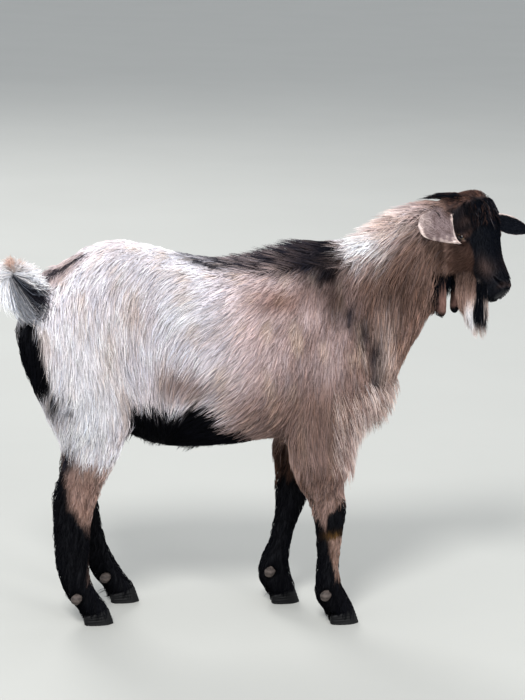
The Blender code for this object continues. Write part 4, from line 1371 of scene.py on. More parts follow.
def leather_mask(points):
    """How bare the skin is: 1 on the nose pad, the lips' edges and the lids' rims."""
    folded = in_half_head(points)
    on_head = past_nape(points) > 0
    nose = blob(folded, (0.13, -0.04, 0.004), (0.01, 0.018, 0.018))
    nostril = np.exp(-(from_path(folded, NOSTRIL)[0] / 0.006) ** 2)
    mouth = np.exp(-(from_path(folded, MOUTH)[0] / 0.0034) ** 2)
    lids = np.zeros(len(points))
    for side in SIDES:
        local = in_eye(points, side)
        close = (np.hypot(local[:, 0], local[:, 1]) < 0.018) & (local[:, 2] > 0)
        lids = np.maximum(lids, close * ramp(slit_measure(local), 1.32, 1.16))
    return np.clip(1.2 * np.maximum.reduce([nose, nostril, mouth, lids]), 0.0, 1.0) * on_head


def join_ears(mesh):
    """Union the ears' leaves with the skin, and soften where they meet it."""
    skin = show("skin", mesh)
    for side in SIDES:
        ear = show(f"leaf_{side}", mesh_of(merged([f"ear_{side}"]), "leaf"))
        smooth = ear.modifiers.new("Smooth", "SUBSURF")
        smooth.levels = smooth.render_levels = 2
        union = skin.modifiers.new("Union", "BOOLEAN")
        union.operation = "UNION"
        union.solver = "MANIFOLD"
        union.object = ear
    whole = settle(skin)
    for side in SIDES:
        bpy.data.objects.remove(bpy.data.objects[f"leaf_{side}"], do_unlink=True)
    return whole


def unwrap(skin):
    """Lay the skin's own shape out flat, as the map that the coat's tufts are placed on."""
    skin.data.uv_layers.new(name="OFBake")
    bpy.context.view_layer.objects.active = skin
    for other in bpy.context.selected_objects:
        other.select_set(False)
    skin.select_set(True)
    bpy.ops.object.mode_set(mode="EDIT")
    bpy.ops.mesh.select_all(action="SELECT")
    bpy.ops.uv.smart_project(angle_limit=radians(75), island_margin=0.002, scale_to_bounds=False)
    bpy.ops.object.mode_set(mode="OBJECT")
    skin.select_set(False)


def build_skin(sizes, tint):
    """The skin: fused, drawn in, sculpted, joined with its ears, painted and unwrapped."""
    mesh = fused_flesh(sizes.skin_grain)
    refine(mesh, lambda points: past_nape(points) > -0.012)
    refine(mesh, lambda points: near_details(points, 1.9))
    surface = Surface(mesh)
    surface.smooth(4)
    normals = surface.normals(6)
    depth = surface.even(flesh_depth(surface.points, parts_at(surface.points)), 8)
    surface.points -= normals * depth
    surface.smooth(3, 0.4)
    surface.write()
    refine(mesh, lambda points: near_details(points, 1.0))
    surface = Surface(mesh)
    surface.smooth(3, 0.4)
    sculpt_face(surface)
    for side in SIDES:
        sculpt_eye(surface, side)
    surface.write()
    mesh = join_ears(mesh)
    surface = Surface(mesh)
    seam = np.maximum(*(blob(surface.points, place, (0.022, 0.022, 0.022))
                        for place, _ in EAR_CUT.values()))
    surface.smooth(8, 0.5, np.clip(seam * 1.6, 0.0, 1.0))
    surface.write()
    skin = show("skin", mesh)
    parts = parts_at(surface.points)
    leather = leather_mask(surface.points)
    colours = markings(surface.points, parts, tint, surface.normals(1))
    store(mesh, "coat", "FLOAT_COLOR", colours)
    store(mesh, "leather", "FLOAT", leather)
    bald = np.maximum(ramp(leather, 0.25, 0.6), among(parts, "hoof") * 1.0)
    bald = np.maximum(bald, ramp(surface.points[:, 2], 0.02, 0.012))
    store(mesh, "bald", "FLOAT", bald)
    store(mesh, "depth", "FLOAT", surface.even(flesh_depth(surface.points, parts), 6))
    mesh.shade_smooth()
    mesh.materials.clear()
    mesh.materials.append(skin_material())
    unwrap(skin)
    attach(skin, BODY)
    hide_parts(*FLESH)


def near_details(points, reach):
    """Where the skin needs its finest grain: round the eyes, the nostrils and the mouth."""
    folded = in_half_head(points)
    close = from_path(folded, NOSTRIL)[0] < 0.013 * reach
    close |= from_path(folded, MOUTH)[0] < 0.008 * reach
    for side in SIDES:
        local = in_eye(points, side)
        close |= (np.hypot(local[:, 0], local[:, 1]) < 0.019 * reach) & (local[:, 2] > 0.0)
    return close


# ------ eyes, hooves, dewclaws
def stand_for(node, name, mesh, material):
    """Show a finished mesh as the piece that stands for one of the frame's nodes."""
    mesh.shade_smooth()
    mesh.materials.clear()
    mesh.materials.append(bpy.data.materials[material])
    piece = show(name, mesh)
    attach(piece, BODY)
    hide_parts(node)


def build_eye(side):
    """One eyeball, with a low dome of cornea in front of its iris."""
    centre, axes = eye_frame(side)
    ball = bmesh.new()
    bmesh.ops.create_uvsphere(ball, u_segments=64, v_segments=40, radius=1.0)
    mesh = mesh_of(ball, f"eye_{side}_ball")
    gaze = read(mesh.vertices, "co", 3)
    reach = EYE_SIZE - 0.0003
    wide = np.hypot(gaze[:, 0], gaze[:, 1])
    dome = 0.0007 * ramp(wide, 0.66, 0.3) * (gaze[:, 2] > 0)
    local = gaze * (reach + dome)[:, None]
    points = centre + local @ axes
    mesh.vertices.foreach_set("co", points.astype(np.float32).reshape(-1))
    if np.linalg.det(axes) < 0:
        mesh.flip_normals()
    store(mesh, "gaze", "FLOAT_VECTOR", gaze)
    mesh.update()
    stand_for(f"eye_{side}", f"eyeball_{side}", mesh, "eye_amber")


def smooth_outline(corners, count):
    """A closed curve through corners, as evenly stepped points."""
    corners = np.asarray(corners, dtype=float)
    index, t = np.divmod(np.arange(count) * len(corners) / count, 1.0)
    before, start, stop, after = (corners[(index.astype(int) + shift) % len(corners)]
                                  for shift in (-1, 0, 1, 2))
    t = t[:, None]
    return 0.5 * (2 * start + (stop - before) * t
                  + (2 * before - 5 * start + 4 * stop - after) * t ** 2
                  + (3 * start - before - 3 * stop + after) * t ** 3)


# A claw's sole, as shares of its length and of its width from the cleft, and its wall: its rings,
# its height behind and how much more in front, how far it leans back and in, and its heart.
CLAW_OUTLINE = ((0.01, 0.1), (0.0, 0.6), (0.1, 0.92), (0.35, 1.0), (0.6, 0.93),
                (0.82, 0.7), (0.96, 0.36), (1.0, 0.12), (0.8, 0.04), (0.4, 0.01))
CLAW_RINGS = 22
CLAW_HEIGHT = (0.019, 0.0115)
CLAW_LEAN = (0.011, 0.0025)
CLAW_HEART = 0.45


def build_claw(node):
    """One claw of horn, with growth rings round its wall, as wide and long as its node."""
    low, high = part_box(node)
    pair, side, place = node.split("_")[1:]
    outward = SIDES[side] * (1 if place == "outer" else -1)
    outline = np.clip(smooth_outline(CLAW_OUTLINE, 60), 0.0, 1.0)
    corner = np.array((low.x, low.y if outward > 0 else high.y))
    size = np.array((high.x - low.x, outward * (high.y - low.y)))
    sole = corner + outline * size
    heading = unit(sole - (corner + size * CLAW_HEART))
    lean = outline * (CLAW_LEAN[0], outward * CLAW_LEAN[1])
    height = CLAW_HEIGHT[0] + CLAW_HEIGHT[1] * outline[:, 0]
    mesh = bmesh.new()
    rows = []
    for t in stepped(CLAW_RINGS + 1):
        groove = 0.00035 * sin(t * 30.0) * (0.2 < t < 0.98)
        round_off = 0.0016 * (1 - min(t / 0.06, 1.0)) ** 2 + 0.03 * max(t - 0.9, 0.0)
        wall = sole - lean * t - heading * (round_off + groove)
        rows.append([mesh.verts.new((*point, rise)) for point, rise in zip(wall, height * t)])
    for below, above in zip(rows, rows[1:]):
        for index in range(len(outline)):
            mesh.faces.new((below[index - 1], below[index], above[index], above[index - 1]))
    mesh.faces.new(rows[0][::-1])
    mesh.faces.new(rows[-1])
    bmesh.ops.recalc_face_normals(mesh, faces=mesh.faces)
    bmesh.ops.triangulate(mesh, faces=[face for face in mesh.faces if len(face.verts) > 4])
    name = f"claw_{pair}_{side}_{place}"
    stand_for(node, name, mesh_of(mesh, name), "hoof_horn")


def build_dewclaw(node):
    """One dewclaw: the node's knob made round and uneven."""
    made = show("knob", mesh_of(merged([node]), "knob"))
    smooth = made.modifiers.new("Smooth", "SUBSURF")
    smooth.levels = smooth.render_levels = 3
    mesh = settle(made)
    surface = Surface(mesh)
    surface.smooth(14, 0.6)
    normals = surface.normals(1)
    centre = surface.points.mean(axis=0)
    rough = waves(surface.points, 0.006, len(node)) * 0.00025
    surface.points = centre + (surface.points - centre) * 1.02 + normals * rough[:, None]
    surface.write()
    stand_for(node, f"spur_{node[8:]}", mesh, "dewclaw_horn")


# ------ coat pieces
# The coat's regions: the part, where the region starts and ends along the body, and its slot, then
# the spacing, length, girth, curl, lift and contrast of its hair as shares of the usual.
REGIONS = {
    "croup": ("trunk", -0.6, -0.27, "coat_pale", 1, 1, 1, 1.9, 1, 1),
    "flank": ("trunk", -0.27, -0.09, "coat_pale", 1, 1, 1, 1.9, 1, 1),
    "ribs": ("trunk", -0.09, 0.08, "coat_pale", 1, 1, 1, 1, 1, 1),
    "shoulder": ("trunk", 0.08, 0.4, "coat_brown", 1, 1, 1, 1, 1, 1),
    "neck": ("neck", -1, 1, "coat_brown", 1, 1, 1, 1, 1, 1.5),
    "thigh": ("hindleg_upper", -1, 1, "coat_pale", 0.9, 1, 1, 1.9, 1, 1),
    "forearm": ("foreleg_upper", -1, 1, "coat_brown", 0.8, 0.8, 0.8, 1, 1, 1.8),
    "shank": ("hindleg_lower", -1, 1, "coat_dark", 0.78, 1, 0.75, 1, 0.75, 1),
    "cannon": ("foreleg_lower", -1, 1, "coat_dark", 0.78, 1, 0.75, 1, 0.75, 1),
}


def grow(hide, name, wanted, spacing, length, seed, slot, points=5, vary=(0.65, 1.15), turns=1.5,
         waviness=0.0012, tuft=0.014, strength=0.5, radius=0.0009, contrast=1.0, paint=None,
         **combing):
    """Hair rooted in the skin where it is wanted, combed, and made one piece of the coat.

    length and the settings for the comb are values, or functions of the places of the roots.
    """
    places, unwrapped, outward = hide.roots(wanted, spacing, seed)

    def at_roots(value):
        """What a setting is at the roots."""
        return value(places) if callable(value) else value

    grown = at_roots(length) * np.random.default_rng(seed + 1).uniform(*vary, len(places))
    combing = {key: at_roots(value) for key, value in combing.items()}
    paths, parts = comb(hide, places, grown, points, seed + 2, **combing)
    paths[:, :, 2] = np.maximum(paths[:, :, 2], FLOOR_GAP)
    paths = wave(paths, waviness, turns, seed + 3)
    if paint:
        parts = np.full(len(places), paint)
    make_piece(hide, name, paths, parts, unwrapped, outward, tuft, strength, radius, slot, seed,
               contrast)


def grow_region(hide, name, sign, sizes, seed):
    """The coat of one region of one side: fuller above the hooves, and hanging over them."""
    part, low, high, slot, spacing, longer, girth, curl, lift, contrast = REGIONS[name]
    x, y = hide.middles[:, 0], hide.middles[:, 1]
    wanted = among(hide.parts, part) & (x >= low) & (x < high) & (y * sign >= 0)
    grow(hide, f"coat_{name}_{'left' if sign > 0 else 'right'}", wanted, sizes.spacing * spacing,
         lambda places: coat_length(places, parts_at(places)) * longer * sizes.length, seed, slot,
         points=4, vary=(0.7, 1.15), turns=0.9, waviness=0.0012 * curl, tuft=sizes.lock,
         strength=sizes.gather, radius=sizes.girth * girth, contrast=contrast,
         lift=lambda places: lift * (1 + 1.3 * ramp(places[:, 2], 0.1, 0.07)),
         free=lambda places: 0.85 * ramp(places[:, 2], 0.06, 0.04))


def make_piece(hide, name, paths, parts, unwrapped, outward, tuft, strength, radius, slot, seed,
               contrast=1.0, places=above_roots):
    """Gather hairs into tufts, and colour, shape and mesh them as one coat piece."""
    paths, groups = gather(paths, tuft, strength, seed + 4)
    count, points, _ = paths.shape
    girth = radius * np.random.default_rng(seed + 5).uniform(0.7, 1.3, (count, 1))
    girth = girth * np.interp(stepped(points), *TAPER)
    colours = shade_strands(paths, parts, hide.tint, seed + 6, groups, outward, contrast, places)
    run = unit(np.gradient(paths, axis=1))
    facing = np.broadcast_to(outward[:, None, :], paths.shape)
    facing = unit(facing - run * (facing * run).sum(axis=2, keepdims=True))
    mesh = strand_mesh(f"{name}_rows", paths, girth, facing, colours, unwrapped)
    return grow_locks(name, mesh, slot, Seed=seed)


HIDE = {}
# How a strand tapers: places from root to tip, and its half width there.
TAPER = ((0.0, 0.25, 0.6, 1.0), (0.7, 1.0, 0.8, 0.1))


def on_node(node, count, seed, wanted):
    """Random places on the outside of one of the frame's nodes."""
    chance = np.random.default_rng(seed)
    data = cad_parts[node].data
    corners = read(data.vertices, "co", 3)
    faces = np.array([polygon.vertices[:] for polygon in data.polygons])
    corners = corners[faces]
    area = np.linalg.norm(
        np.cross(corners[:, 1] - corners[:, 0], corners[:, 2] - corners[:, 0]), axis=1)
    area = area * wanted(corners.mean(axis=1))
    picked = chance.choice(len(area), count, p=area / area.sum())
    mix = chance.dirichlet((1.0, 1.0, 1.0), count)
    return (corners[picked] * mix[:, :, None]).sum(axis=1)


def arcs(roots, bends, tips, points):
    """Hair that leaves its roots towards the bends and ends at the tips."""
    t = stepped(points)[None, :, None]
    roots, bends, tips = (place[:, None, :] for place in (roots, bends, tips))
    return roots * (1 - t) ** 2 + bends * 2 * t * (1 - t) + tips * t ** 2


def reach_hair(hide, name, paint, tips, origin, bends, points, slot, seed, tuft, strength,
               places):
    """Long hair from the skin nearest to its origins, by its bends, out to its tips."""
    chance = np.random.default_rng(seed)
    roots, normals, _, _ = hide.nearest(origin)
    span = np.linalg.norm(tips - roots, axis=1, keepdims=True)
    bends = bends + chance.normal(0.0, 0.05, bends.shape) * span
    paths = wave(arcs(roots - normals * 0.0008, bends, tips, points), 0.002, 1.3, seed + 3)
    return make_piece(hide, name, paths, np.full(len(roots), paint), hide.nearest(roots)[3],
                      normals, tuft, strength, 0.0009, slot, seed, places=places)


# How the tail's fan is swept: the way its hair leaves the whorl, in degrees round from straight
# down towards the rump, and where its longest hair ends from there.
FAN = ((-180, 0.0, 0.012, 0.03), (-150, -0.016, 0.012, 0.024), (-110, -0.044, 0.014, -0.012),
       (-60, -0.045, 0.016, -0.054), (-20, -0.004, 0.034, -0.082), (0, 0.03, 0.076, -0.095),
       (15, 0.055, 0.112, -0.097), (30, 0.069, 0.12, -0.085), (45, 0.072, 0.112, -0.06),
       (60, 0.073, 0.096, -0.036), (80, 0.073, 0.072, -0.01), (110, 0.046, 0.028, 0.014),
       (150, 0.018, 0.012, 0.026), (180, 0.0, 0.012, 0.03))
TAIL_HAIRS = 3300
BEARD_HAIRS = 2100


def grow_tail(hide):
    """The fan of the tail: hair that leaves the raised tip on every side and sweeps forward."""
    chance = np.random.default_rng(702)
    angles, ahead, aside, upward = (np.array(row, dtype=float) for row in zip(*FAN))
    share = np.cumsum(np.hypot(np.hypot(ahead, aside), upward) * np.gradient(angles))
    count = TAIL_HAIRS
    way = np.interp(chance.uniform(0.0, share[-1], count), share, angles)
    reach = 1.04 - 0.42 * chance.uniform(size=count) ** 1.6
    near = np.where(chance.uniform(size=count) < 0.62, -1.0, 0.7)
    spread = near * np.abs(chance.normal(1.1, 0.12, count))
    ends = np.stack([np.interp(way, angles, ahead), spread * np.interp(way, angles, aside),
                     np.interp(way, angles, upward)], axis=1) * reach[:, None]
    ends += chance.normal(0.0, 0.0045, ends.shape)
    turn = np.radians(way + chance.normal(0.0, 6.0, count))
    leave = np.stack([np.sin(turn), near * 0.3, -np.cos(turn)], axis=1)
    span = np.linalg.norm(ends, axis=1, keepdims=True)
    start = np.asarray(TAIL_CORE[1]) + (
        np.asarray(TAIL_CORE[0] - TAIL_CORE[1]) * 0.3 * chance.uniform(size=count)[:, None] ** 2)
    origin = start + leave * 0.01
    bends = start + leave * span * 0.58 + ends * (0.08, 0.66, 0.08)
    outer = (np.asarray(WHORL) + leave * 0.05)[:, None, :]
    reach_hair(hide, "coat_tail", "tail", WHORL + ends, origin, bends, 5, "coat_pale", 703, 0.01,
               0.25, lambda paths: outer)


def grow_beard(hide):
    """The beard, from the jaw's underside and sides down to a ragged edge."""
    chance = np.random.default_rng(711)

    def wanted(middles):
        """Most hair ends low, and none of it in front of the chin's own."""
        low = ramp(middles[:, 2], 0.69, 0.64) + 0.06
        return low * ramp(forward(middles), 0.033, 0.029) * (middles[:, 0] < 0.436)

    tips = on_node("beard", BEARD_HAIRS, 712, wanted)
    tips[:, 2] -= 0.01 * ramp(tips[:, 2], 0.65, 0.6)
    low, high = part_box("beard")
    rise = (high.z - tips[:, 2]) * chance.uniform(0.75, 1.1, len(tips))
    rise += 0.004 + chance.uniform(0.0, 0.022, len(tips)) * ramp(forward(tips), 0.005, -0.015)
    origin = tips + np.stack([0 * rise, 0 * rise, rise], axis=1)
    origin[:, :2] += (np.array(middle("beard"))[:2] - origin[:, :2]) * 0.1
    roots, normals, _, _ = hide.nearest(origin)
    kept = forward(roots) < 0.034
    roots, normals, tips, origin = roots[kept], normals[kept], tips[kept], origin[kept]
    span = np.linalg.norm(tips - roots, axis=1, keepdims=True)
    bends = (roots + tips) / 2 + normals * span * 0.12 + (0.0, 0.0, 0.06) * span
    piece = reach_hair(hide, "coat_beard", "beard", tips, origin, bends, 6, "beard_hair", 713,
                       0.011, 0.45, lambda paths: paths)
    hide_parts("beard")


def grow_fringe(hide):
    """The shaggy fringe of the chest, swept down and forward."""
    x, _, z = hide.middles.T
    wanted = among(hide.parts, "trunk") * (x > 0.12) * ramp(z, 0.52, 0.44) * (z > 0.35)

    def heading(places):
        """Forward and down, steeper behind."""
        level = np.interp(places[:, 0], (0.12, 0.19, 0.23), (0.34, 0.75, 1.15))
        return np.stack([level, 0.18 * np.sign(places[:, 1]), -0.8 - 0 * level], axis=1)

    grow(hide, "coat_fringe", wanted, 0.005,
         lambda places: np.interp(places[:, 0], (0.12, 0.2, 0.25), (0.066, 0.06, 0.05)),
         721, "coat_brown", paint="fringe", heading=heading, free=0.9, gravity=0.1)


def grow_belly(hide):
    """Loose black hair under the belly, with a tuft at the sheath."""
    x = hide.middles[:, 0]
    wanted = among(hide.parts, "trunk") & (hide.facing[:, 2] < -0.45) & (x > -0.3) & (x < 0.05)
    tuft = (0.022, 0.04, 0.1)
    grow(hide, "coat_belly", wanted, 0.0066,
         lambda places: (0.016 + 0.012 * blob(places, (-0.215, 0.0, 0.37), tuft)
                         + 0.03 * blob(places, (-0.133, 0.0, 0.37), tuft)),
         731, "coat_dark", points=4, heading=(-0.85, 0.0, -0.4), free=0.9, gravity=0.4)


def grow_crest(hide):
    """Longer hair that stands a little off the neck's crest, the withers and the back."""
    x, y, _ = hide.middles.T
    wanted = among(hide.parts, "trunk", "neck") & (hide.facing[:, 2] > 0.45) & (x > -0.42)
    wanted &= (np.abs(y) < 0.06) & (past_nape(hide.middles) < -0.004)
    wanted = wanted * np.where(x < -0.24, 0.35, 1.0)

    def heading(places):
        """Backward, up and a little outward."""
        rise = np.interp(places[:, 0], (-0.42, -0.36, -0.3, -0.2, 0.02, 0.1, 0.2, 0.32),
                         (-0.5, -0.25, 0.12, 0.3, 0.48, 0.46, 0.04, 0.26))
        return np.stack([-0.9 + 0 * rise, places[:, 1] * 5.0, rise], axis=1)

    grow(hide, "coat_crest", wanted, 0.0058,
         lambda places: np.interp(places[:, 0], (-0.24, -0.1, 0.09, 0.2, 0.34),
                                  (0.032, 0.046, 0.062, 0.056, 0.05)),
         761, "coat_dark", strength=0.35, heading=heading, free=1.0, gravity=0.07)


def grow_forelock(hide):
    """The curly lock that falls over the forehead, and the tuft swept back from the poll."""
    down, out, left = in_head(hide.middles).T
    on_head = among(hide.parts, "head", "neck") & (np.abs(left) < 0.038)

    def forelock(places):
        """Down the forehead, and outward to its own side."""
        downward, outward, leftward = HEAD_TURN
        return downward * 0.95 + outward * 0.1 + in_head(places)[:, 2:] * leftward * 8.0

    for name, wanted, length, heading, free, seed, spacing, curl in (
            ("forelock", (down > -0.062) & (down < -0.028) & (out > -0.02), 0.038, forelock,
             0.45, 741, 0.0031, 0.0026),
            ("poll", (hide.middles[:, 0] < 0.384) & (hide.middles[:, 2] > 0.866), 0.058,
             (-0.95, 0.1, 0.22), 0.95, 751, 0.0044, 0.0012)):
        grow(hide, f"coat_{name}", on_head & wanted, spacing, length, seed, "coat_dark",
             points=6, waviness=curl, strength=0.6, radius=0.0008, paint="forelock",
             heading=heading, free=free, gravity=0.05)


def grow_throat(hide):
    """Hair that hangs from the throat between and above the wattles, painted black as the shade
    under the jaw.
    """
    gap = hide.middles - (0.352, -0.03, 0.702)
    wanted = among(hide.parts, "neck", "head") & (np.abs(gap[:, 0]) < 0.028)
    wanted &= (np.abs(gap[:, 1]) < 0.045) & (np.abs(gap[:, 2]) < 0.024)
    grow(hide, "coat_throat", wanted, 0.0036, 0.04, 771, "coat_dark", tuft=0.008,
         radius=0.0008, paint="throat", heading=(0.3, 0.0, -1.0), free=0.9, gravity=0.3)


def face_length(places):
    """Longer on jaw, nape and crown, and shorter on the muzzle."""
    place = in_head(places)
    down, out, _ = place.T
    longer = np.maximum(ramp(out, -0.07, -0.11), ramp(past_nape(places), 0.04, 0.0))
    crown = blob(place, (-0.06, 0.01, 0.0), (0.035, 0.03, 0.05))
    return (0.01 * (1 + longer) + 0.008 * crown) * (1 - 0.45 * ramp(down, 0.07, 0.11))


# The head's short hair: piece, part, side, spacing, length, half width, slot and seed.
SHORT_HAIR = (
    ("face_right", "head", -1, 0.003, face_length, 0.00062, "coat_dark", 501),
    ("face_left", "head", 1, 0.003, face_length, 0.00062, "coat_dark", 511),
    ("ear_right", "ear_right", 0, 0.0026, 0.008, 0.0005, "ear_skin", 521),
    ("ear_left", "ear_left", 0, 0.0026, 0.008, 0.0005, "ear_skin", 531),
    ("wattles", "wattle", 0, 0.0026, 0.011, 0.0005, "wattle_skin", 541),
)


def grow_head(hide):
    """Short hair on the face, ears and wattles."""
    left = in_head(hide.middles)[:, 2]
    for name, part, sign, spacing, length, radius, slot, seed in SHORT_HAIR:
        wanted = among(hide.parts, part) & (left * sign >= 0)
        grow(hide, f"coat_{name}", wanted, spacing, length, seed, slot, points=3,
             vary=(0.75, 1.2), waviness=0.0, tuft=0.007, strength=0.35 * abs(sign),
             radius=radius, contrast=0.8 if sign else 0.4, lift=0.9)


# ------ stage
def stage(settings):
    """The floor, the soft lights and the camera."""
    floor_mesh = bmesh.new()
    bmesh.ops.create_circle(floor_mesh, cap_ends=True, radius=settings.floor_radius, segments=96)
    data = mesh_of(floor_mesh, "floor")
    data.materials.append(floor_material(settings.floor_colour))
    show("floor", data)
    world = bpy.context.scene.world or bpy.data.worlds.new("studio")
    bpy.context.scene.world = world
    world.use_nodes = True
    backdrop = world.node_tree.nodes["Background"]
    backdrop.inputs["Color"].default_value = (*linear(settings.sky_colour), 1.0)
    backdrop.inputs["Strength"].default_value = settings.sky_strength
    for name, place, size, power in (
            ("key", (-2.4, -6.2, 7.2), 2.6, settings.key_power),
            ("fill", (4.0, -6.4, 2.2), 3.0, settings.key_power * 0.3),
            ("rim", (-1.6, 6.2, 5.6), 3.0, settings.key_power * 0.35)):
        lamp = bpy.data.lights.new(name, "AREA")
        lamp.shape = "DISK"
        lamp.size = size
        lamp.energy = power
        light = show(name, lamp)
        light.location = place
        aim = Vector((0.0, 0.0, 0.45)) - Vector(place)
        light.rotation_euler = aim.to_track_quat("-Z", "Y").to_euler()
    azimuth, height, roll = settings.azimuth, settings.elevation, settings.roll
    back = Vector((sin(azimuth) * cos(height), -cos(azimuth) * cos(height), sin(height)))
    level = Vector((cos(azimuth), sin(azimuth), 0.0))
    upright = back.cross(level)
    right = level * cos(roll) - upright * sin(roll)
    up = back.cross(right)
    lens = bpy.data.cameras.new("camera")
    lens.sensor_width = 36.0
    lens.lens = settings.lens
    camera = show("camera", lens)
    place = Vector(settings.aim) + back * settings.distance
    camera.matrix_world = Matrix.Translation(place) @ Matrix(
        (right, up, back)).transposed().to_4x4()
    bpy.context.scene.camera = camera
    bpy.context.scene.view_settings.view_transform = "Standard"


# ------ settings and operators
class GoatSizes(bpy.types.PropertyGroup):
    """Sizes of the skin and the coat."""

    skin_grain: FloatProperty(
        name="Skin grain", description="Size of the skin's facets", default=0.0064, unit="LENGTH")
    spacing: FloatProperty(
        name="Spacing", description="Distance between neighbouring locks", default=0.0053,
        unit="LENGTH")
    length: FloatProperty(
        name="Length", description="Length of the coat, 1 as modelled", default=1.0,
        subtype="FACTOR")
    girth: FloatProperty(
        name="Lock girth", description="Half width of a lock of body hair", default=0.001,
        unit="LENGTH")
    lock: FloatProperty(name="Tuft size", description="Distance between the tufts' middles",
                        default=0.014, unit="LENGTH")
    gather: FloatProperty(
        name="Gather", description="How far the tips of a tuft draw together", default=0.55,
        subtype="FACTOR")


class GoatColours(bpy.types.PropertyGroup):
    """The colours of the coat."""

    __annotations__ = {
        key: FloatVectorProperty(name=label, description=f"{label}, as displayed", size=3,
                                 default=colour, min=0.0, max=1.0, subtype="COLOR_GAMMA")
        for key, (label, colour) in COLOURS.items()}


class GoatStage(bpy.types.PropertyGroup):
    """The camera, floor and lights."""

    aim: FloatVectorProperty(
        name="Aim", description="Point that the camera looks at", default=(0.0, 0.033, 0.545),
        subtype="TRANSLATION")
    distance: FloatProperty(
        name="Distance", description="From the aim to the camera", default=4.9, unit="LENGTH")
    azimuth: FloatProperty(
        name="Azimuth", description="Turn of the camera round the goat", default=radians(-8.0),
        subtype="ANGLE")
    elevation: FloatProperty(
        name="Elevation", description="Height of the camera", default=radians(12.0),
        subtype="ANGLE")
    roll: FloatProperty(
        name="Roll", description="Turn of the picture", default=radians(-1.8), subtype="ANGLE")
    lens: FloatProperty(name="Lens", description="Focal length in millimetres", default=123.43)
    floor_radius: FloatProperty(
        name="Floor radius", description="Radius of the floor", default=40.0, unit="LENGTH")
    floor_colour: FloatVectorProperty(
        name="Floor", description="Colour of the floor", size=3, default=(0.64, 0.64, 0.62),
        subtype="COLOR_GAMMA")
    sky_colour: FloatVectorProperty(
        name="Sky", description="Colour of the light all round", size=3, default=(0.93, 0.95, 0.98),
        subtype="COLOR_GAMMA")
    sky_strength: FloatProperty(
        name="Sky strength", description="Strength of that light", default=1.0)
    key_power: FloatProperty(
        name="Key power", description="Power of the main light", default=960.0, unit="POWER")


class GOAT_OT_skin(bpy.types.Operator):
    """Build the skin from the frame's flesh"""

    bl_idname = "goat.skin"
    bl_label = "Skin"

    def execute(self, context):
        build_skin(context.scene.goat_sizes, context.scene.goat_colours)
        HIDE["hide"] = Hide(context.scene.goat_colours)
        return {"FINISHED"}


class GOAT_OT_eyes(bpy.types.Operator):
    """Set the eyeballs between their lids"""

    bl_idname = "goat.eyes"
    bl_label = "Eyes"

    def execute(self, context):
        eye_material()
        for side in SIDES:
            build_eye(side)
        return {"FINISHED"}


class GOAT_OT_hooves(bpy.types.Operator):
    """Build the claws of the hooves and the dewclaws"""

    bl_idname = "goat.hooves"
    bl_label = "Hooves"

    def execute(self, context):
        horn_material("hoof_horn", (0.015, 0.016, 0.022), (0.055, 0.052, 0.055), 900.0)
        horn_material("dewclaw_horn", (0.12, 0.105, 0.1), (0.4, 0.36, 0.34), 700.0)
        for node in CLAWS:
            build_claw(node)
        for node in CLAWS:
            build_dewclaw(node.replace("hoof", "dewclaw"))
        return {"FINISHED"}


class GOAT_OT_coat(bpy.types.Operator):
    """Comb the coat over body and legs"""

    bl_idname = "goat.coat"
    bl_label = "Coat"

    def execute(self, context):
        for index, name in enumerate(REGIONS):
            for sign in (-1, 1):
                grow_region(HIDE["hide"], name, sign, context.scene.goat_sizes,
                            100 + 20 * index + 10 * (sign > 0))
        return {"FINISHED"}


class GOAT_OT_face(bpy.types.Operator):
    """Lay the short hair of the head, ears and wattles"""

    bl_idname = "goat.face"
    bl_label = "Face hair"

    def execute(self, context):
        grow_head(HIDE["hide"])
        return {"FINISHED"}


class GOAT_OT_tail(bpy.types.Operator):
    """Grow the fan of the tail"""

    bl_idname = "goat.tail"
    bl_label = "Tail"

    def execute(self, context):
        grow_tail(HIDE["hide"])
        return {"FINISHED"}


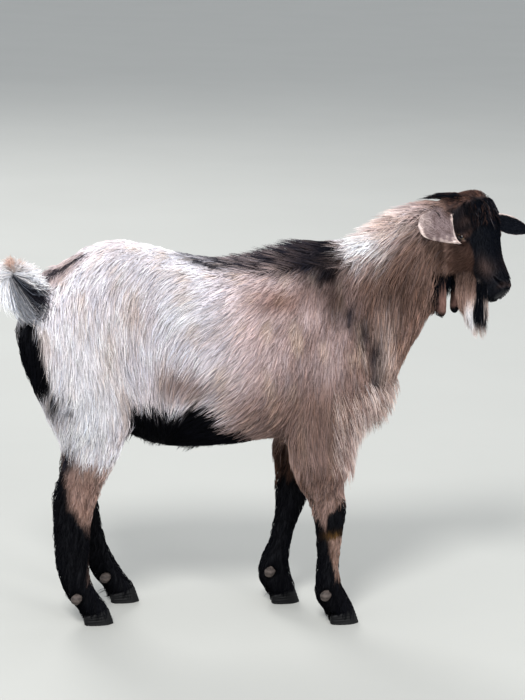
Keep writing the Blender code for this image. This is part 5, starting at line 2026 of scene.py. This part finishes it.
class GOAT_OT_beard(bpy.types.Operator):
    """Grow the beard"""

    bl_idname = "goat.beard"
    bl_label = "Beard"

    def execute(self, context):
        grow_beard(HIDE["hide"])
        return {"FINISHED"}


class GOAT_OT_loose(bpy.types.Operator):
    """Grow the loose hair of chest, belly, crest, forehead and throat"""

    bl_idname = "goat.loose"
    bl_label = "Loose hair"

    def execute(self, context):
        for grow_one in (grow_fringe, grow_belly, grow_crest, grow_forelock, grow_throat):
            grow_one(HIDE["hide"])
        return {"FINISHED"}


class GOAT_OT_stage(bpy.types.Operator):
    """Set up the floor, lights and camera"""

    bl_idname = "goat.stage"
    bl_label = "Stage"

    def execute(self, context):
        stage(context.scene.goat_stage)
        return {"FINISHED"}


STEPS = (GOAT_OT_stage, GOAT_OT_skin, GOAT_OT_eyes, GOAT_OT_hooves, GOAT_OT_coat, GOAT_OT_face,
         GOAT_OT_tail, GOAT_OT_beard, GOAT_OT_loose)


class GOAT_PT_panel(bpy.types.Panel):
    """The goat's settings and steps."""

    bl_label = "Goat"
    bl_idname = "GOAT_PT_panel"
    bl_space_type = "VIEW_3D"
    bl_region_type = "UI"
    bl_category = "Goat"

    def draw(self, context):
        layout = self.layout
        for step in STEPS:
            layout.operator(step.bl_idname)
        for settings in (
                context.scene.goat_sizes, context.scene.goat_colours, context.scene.goat_stage):
            box = layout.box()
            for name in settings.__annotations__:
                box.prop(settings, name)


GROUPS = {"goat_sizes": GoatSizes, "goat_colours": GoatColours, "goat_stage": GoatStage}


def register():
    """Add the settings, the operators and the panel."""
    for kind in (*GROUPS.values(), *STEPS, GOAT_PT_panel):
        bpy.utils.register_class(kind)
    for name, kind in GROUPS.items():
        setattr(bpy.types.Scene, name, PointerProperty(type=kind))


def unregister():
    """Take them away again."""
    for name in GROUPS:
        delattr(bpy.types.Scene, name)
    for kind in reversed((*GROUPS.values(), *STEPS, GOAT_PT_panel)):
        bpy.utils.unregister_class(kind)


def main():
    """Build every piece in order."""
    register()
    for step in STEPS:
        getattr(bpy.ops.goat, step.bl_idname.split(".")[1])()
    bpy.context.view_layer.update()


if __name__ == "__main__":
    main()
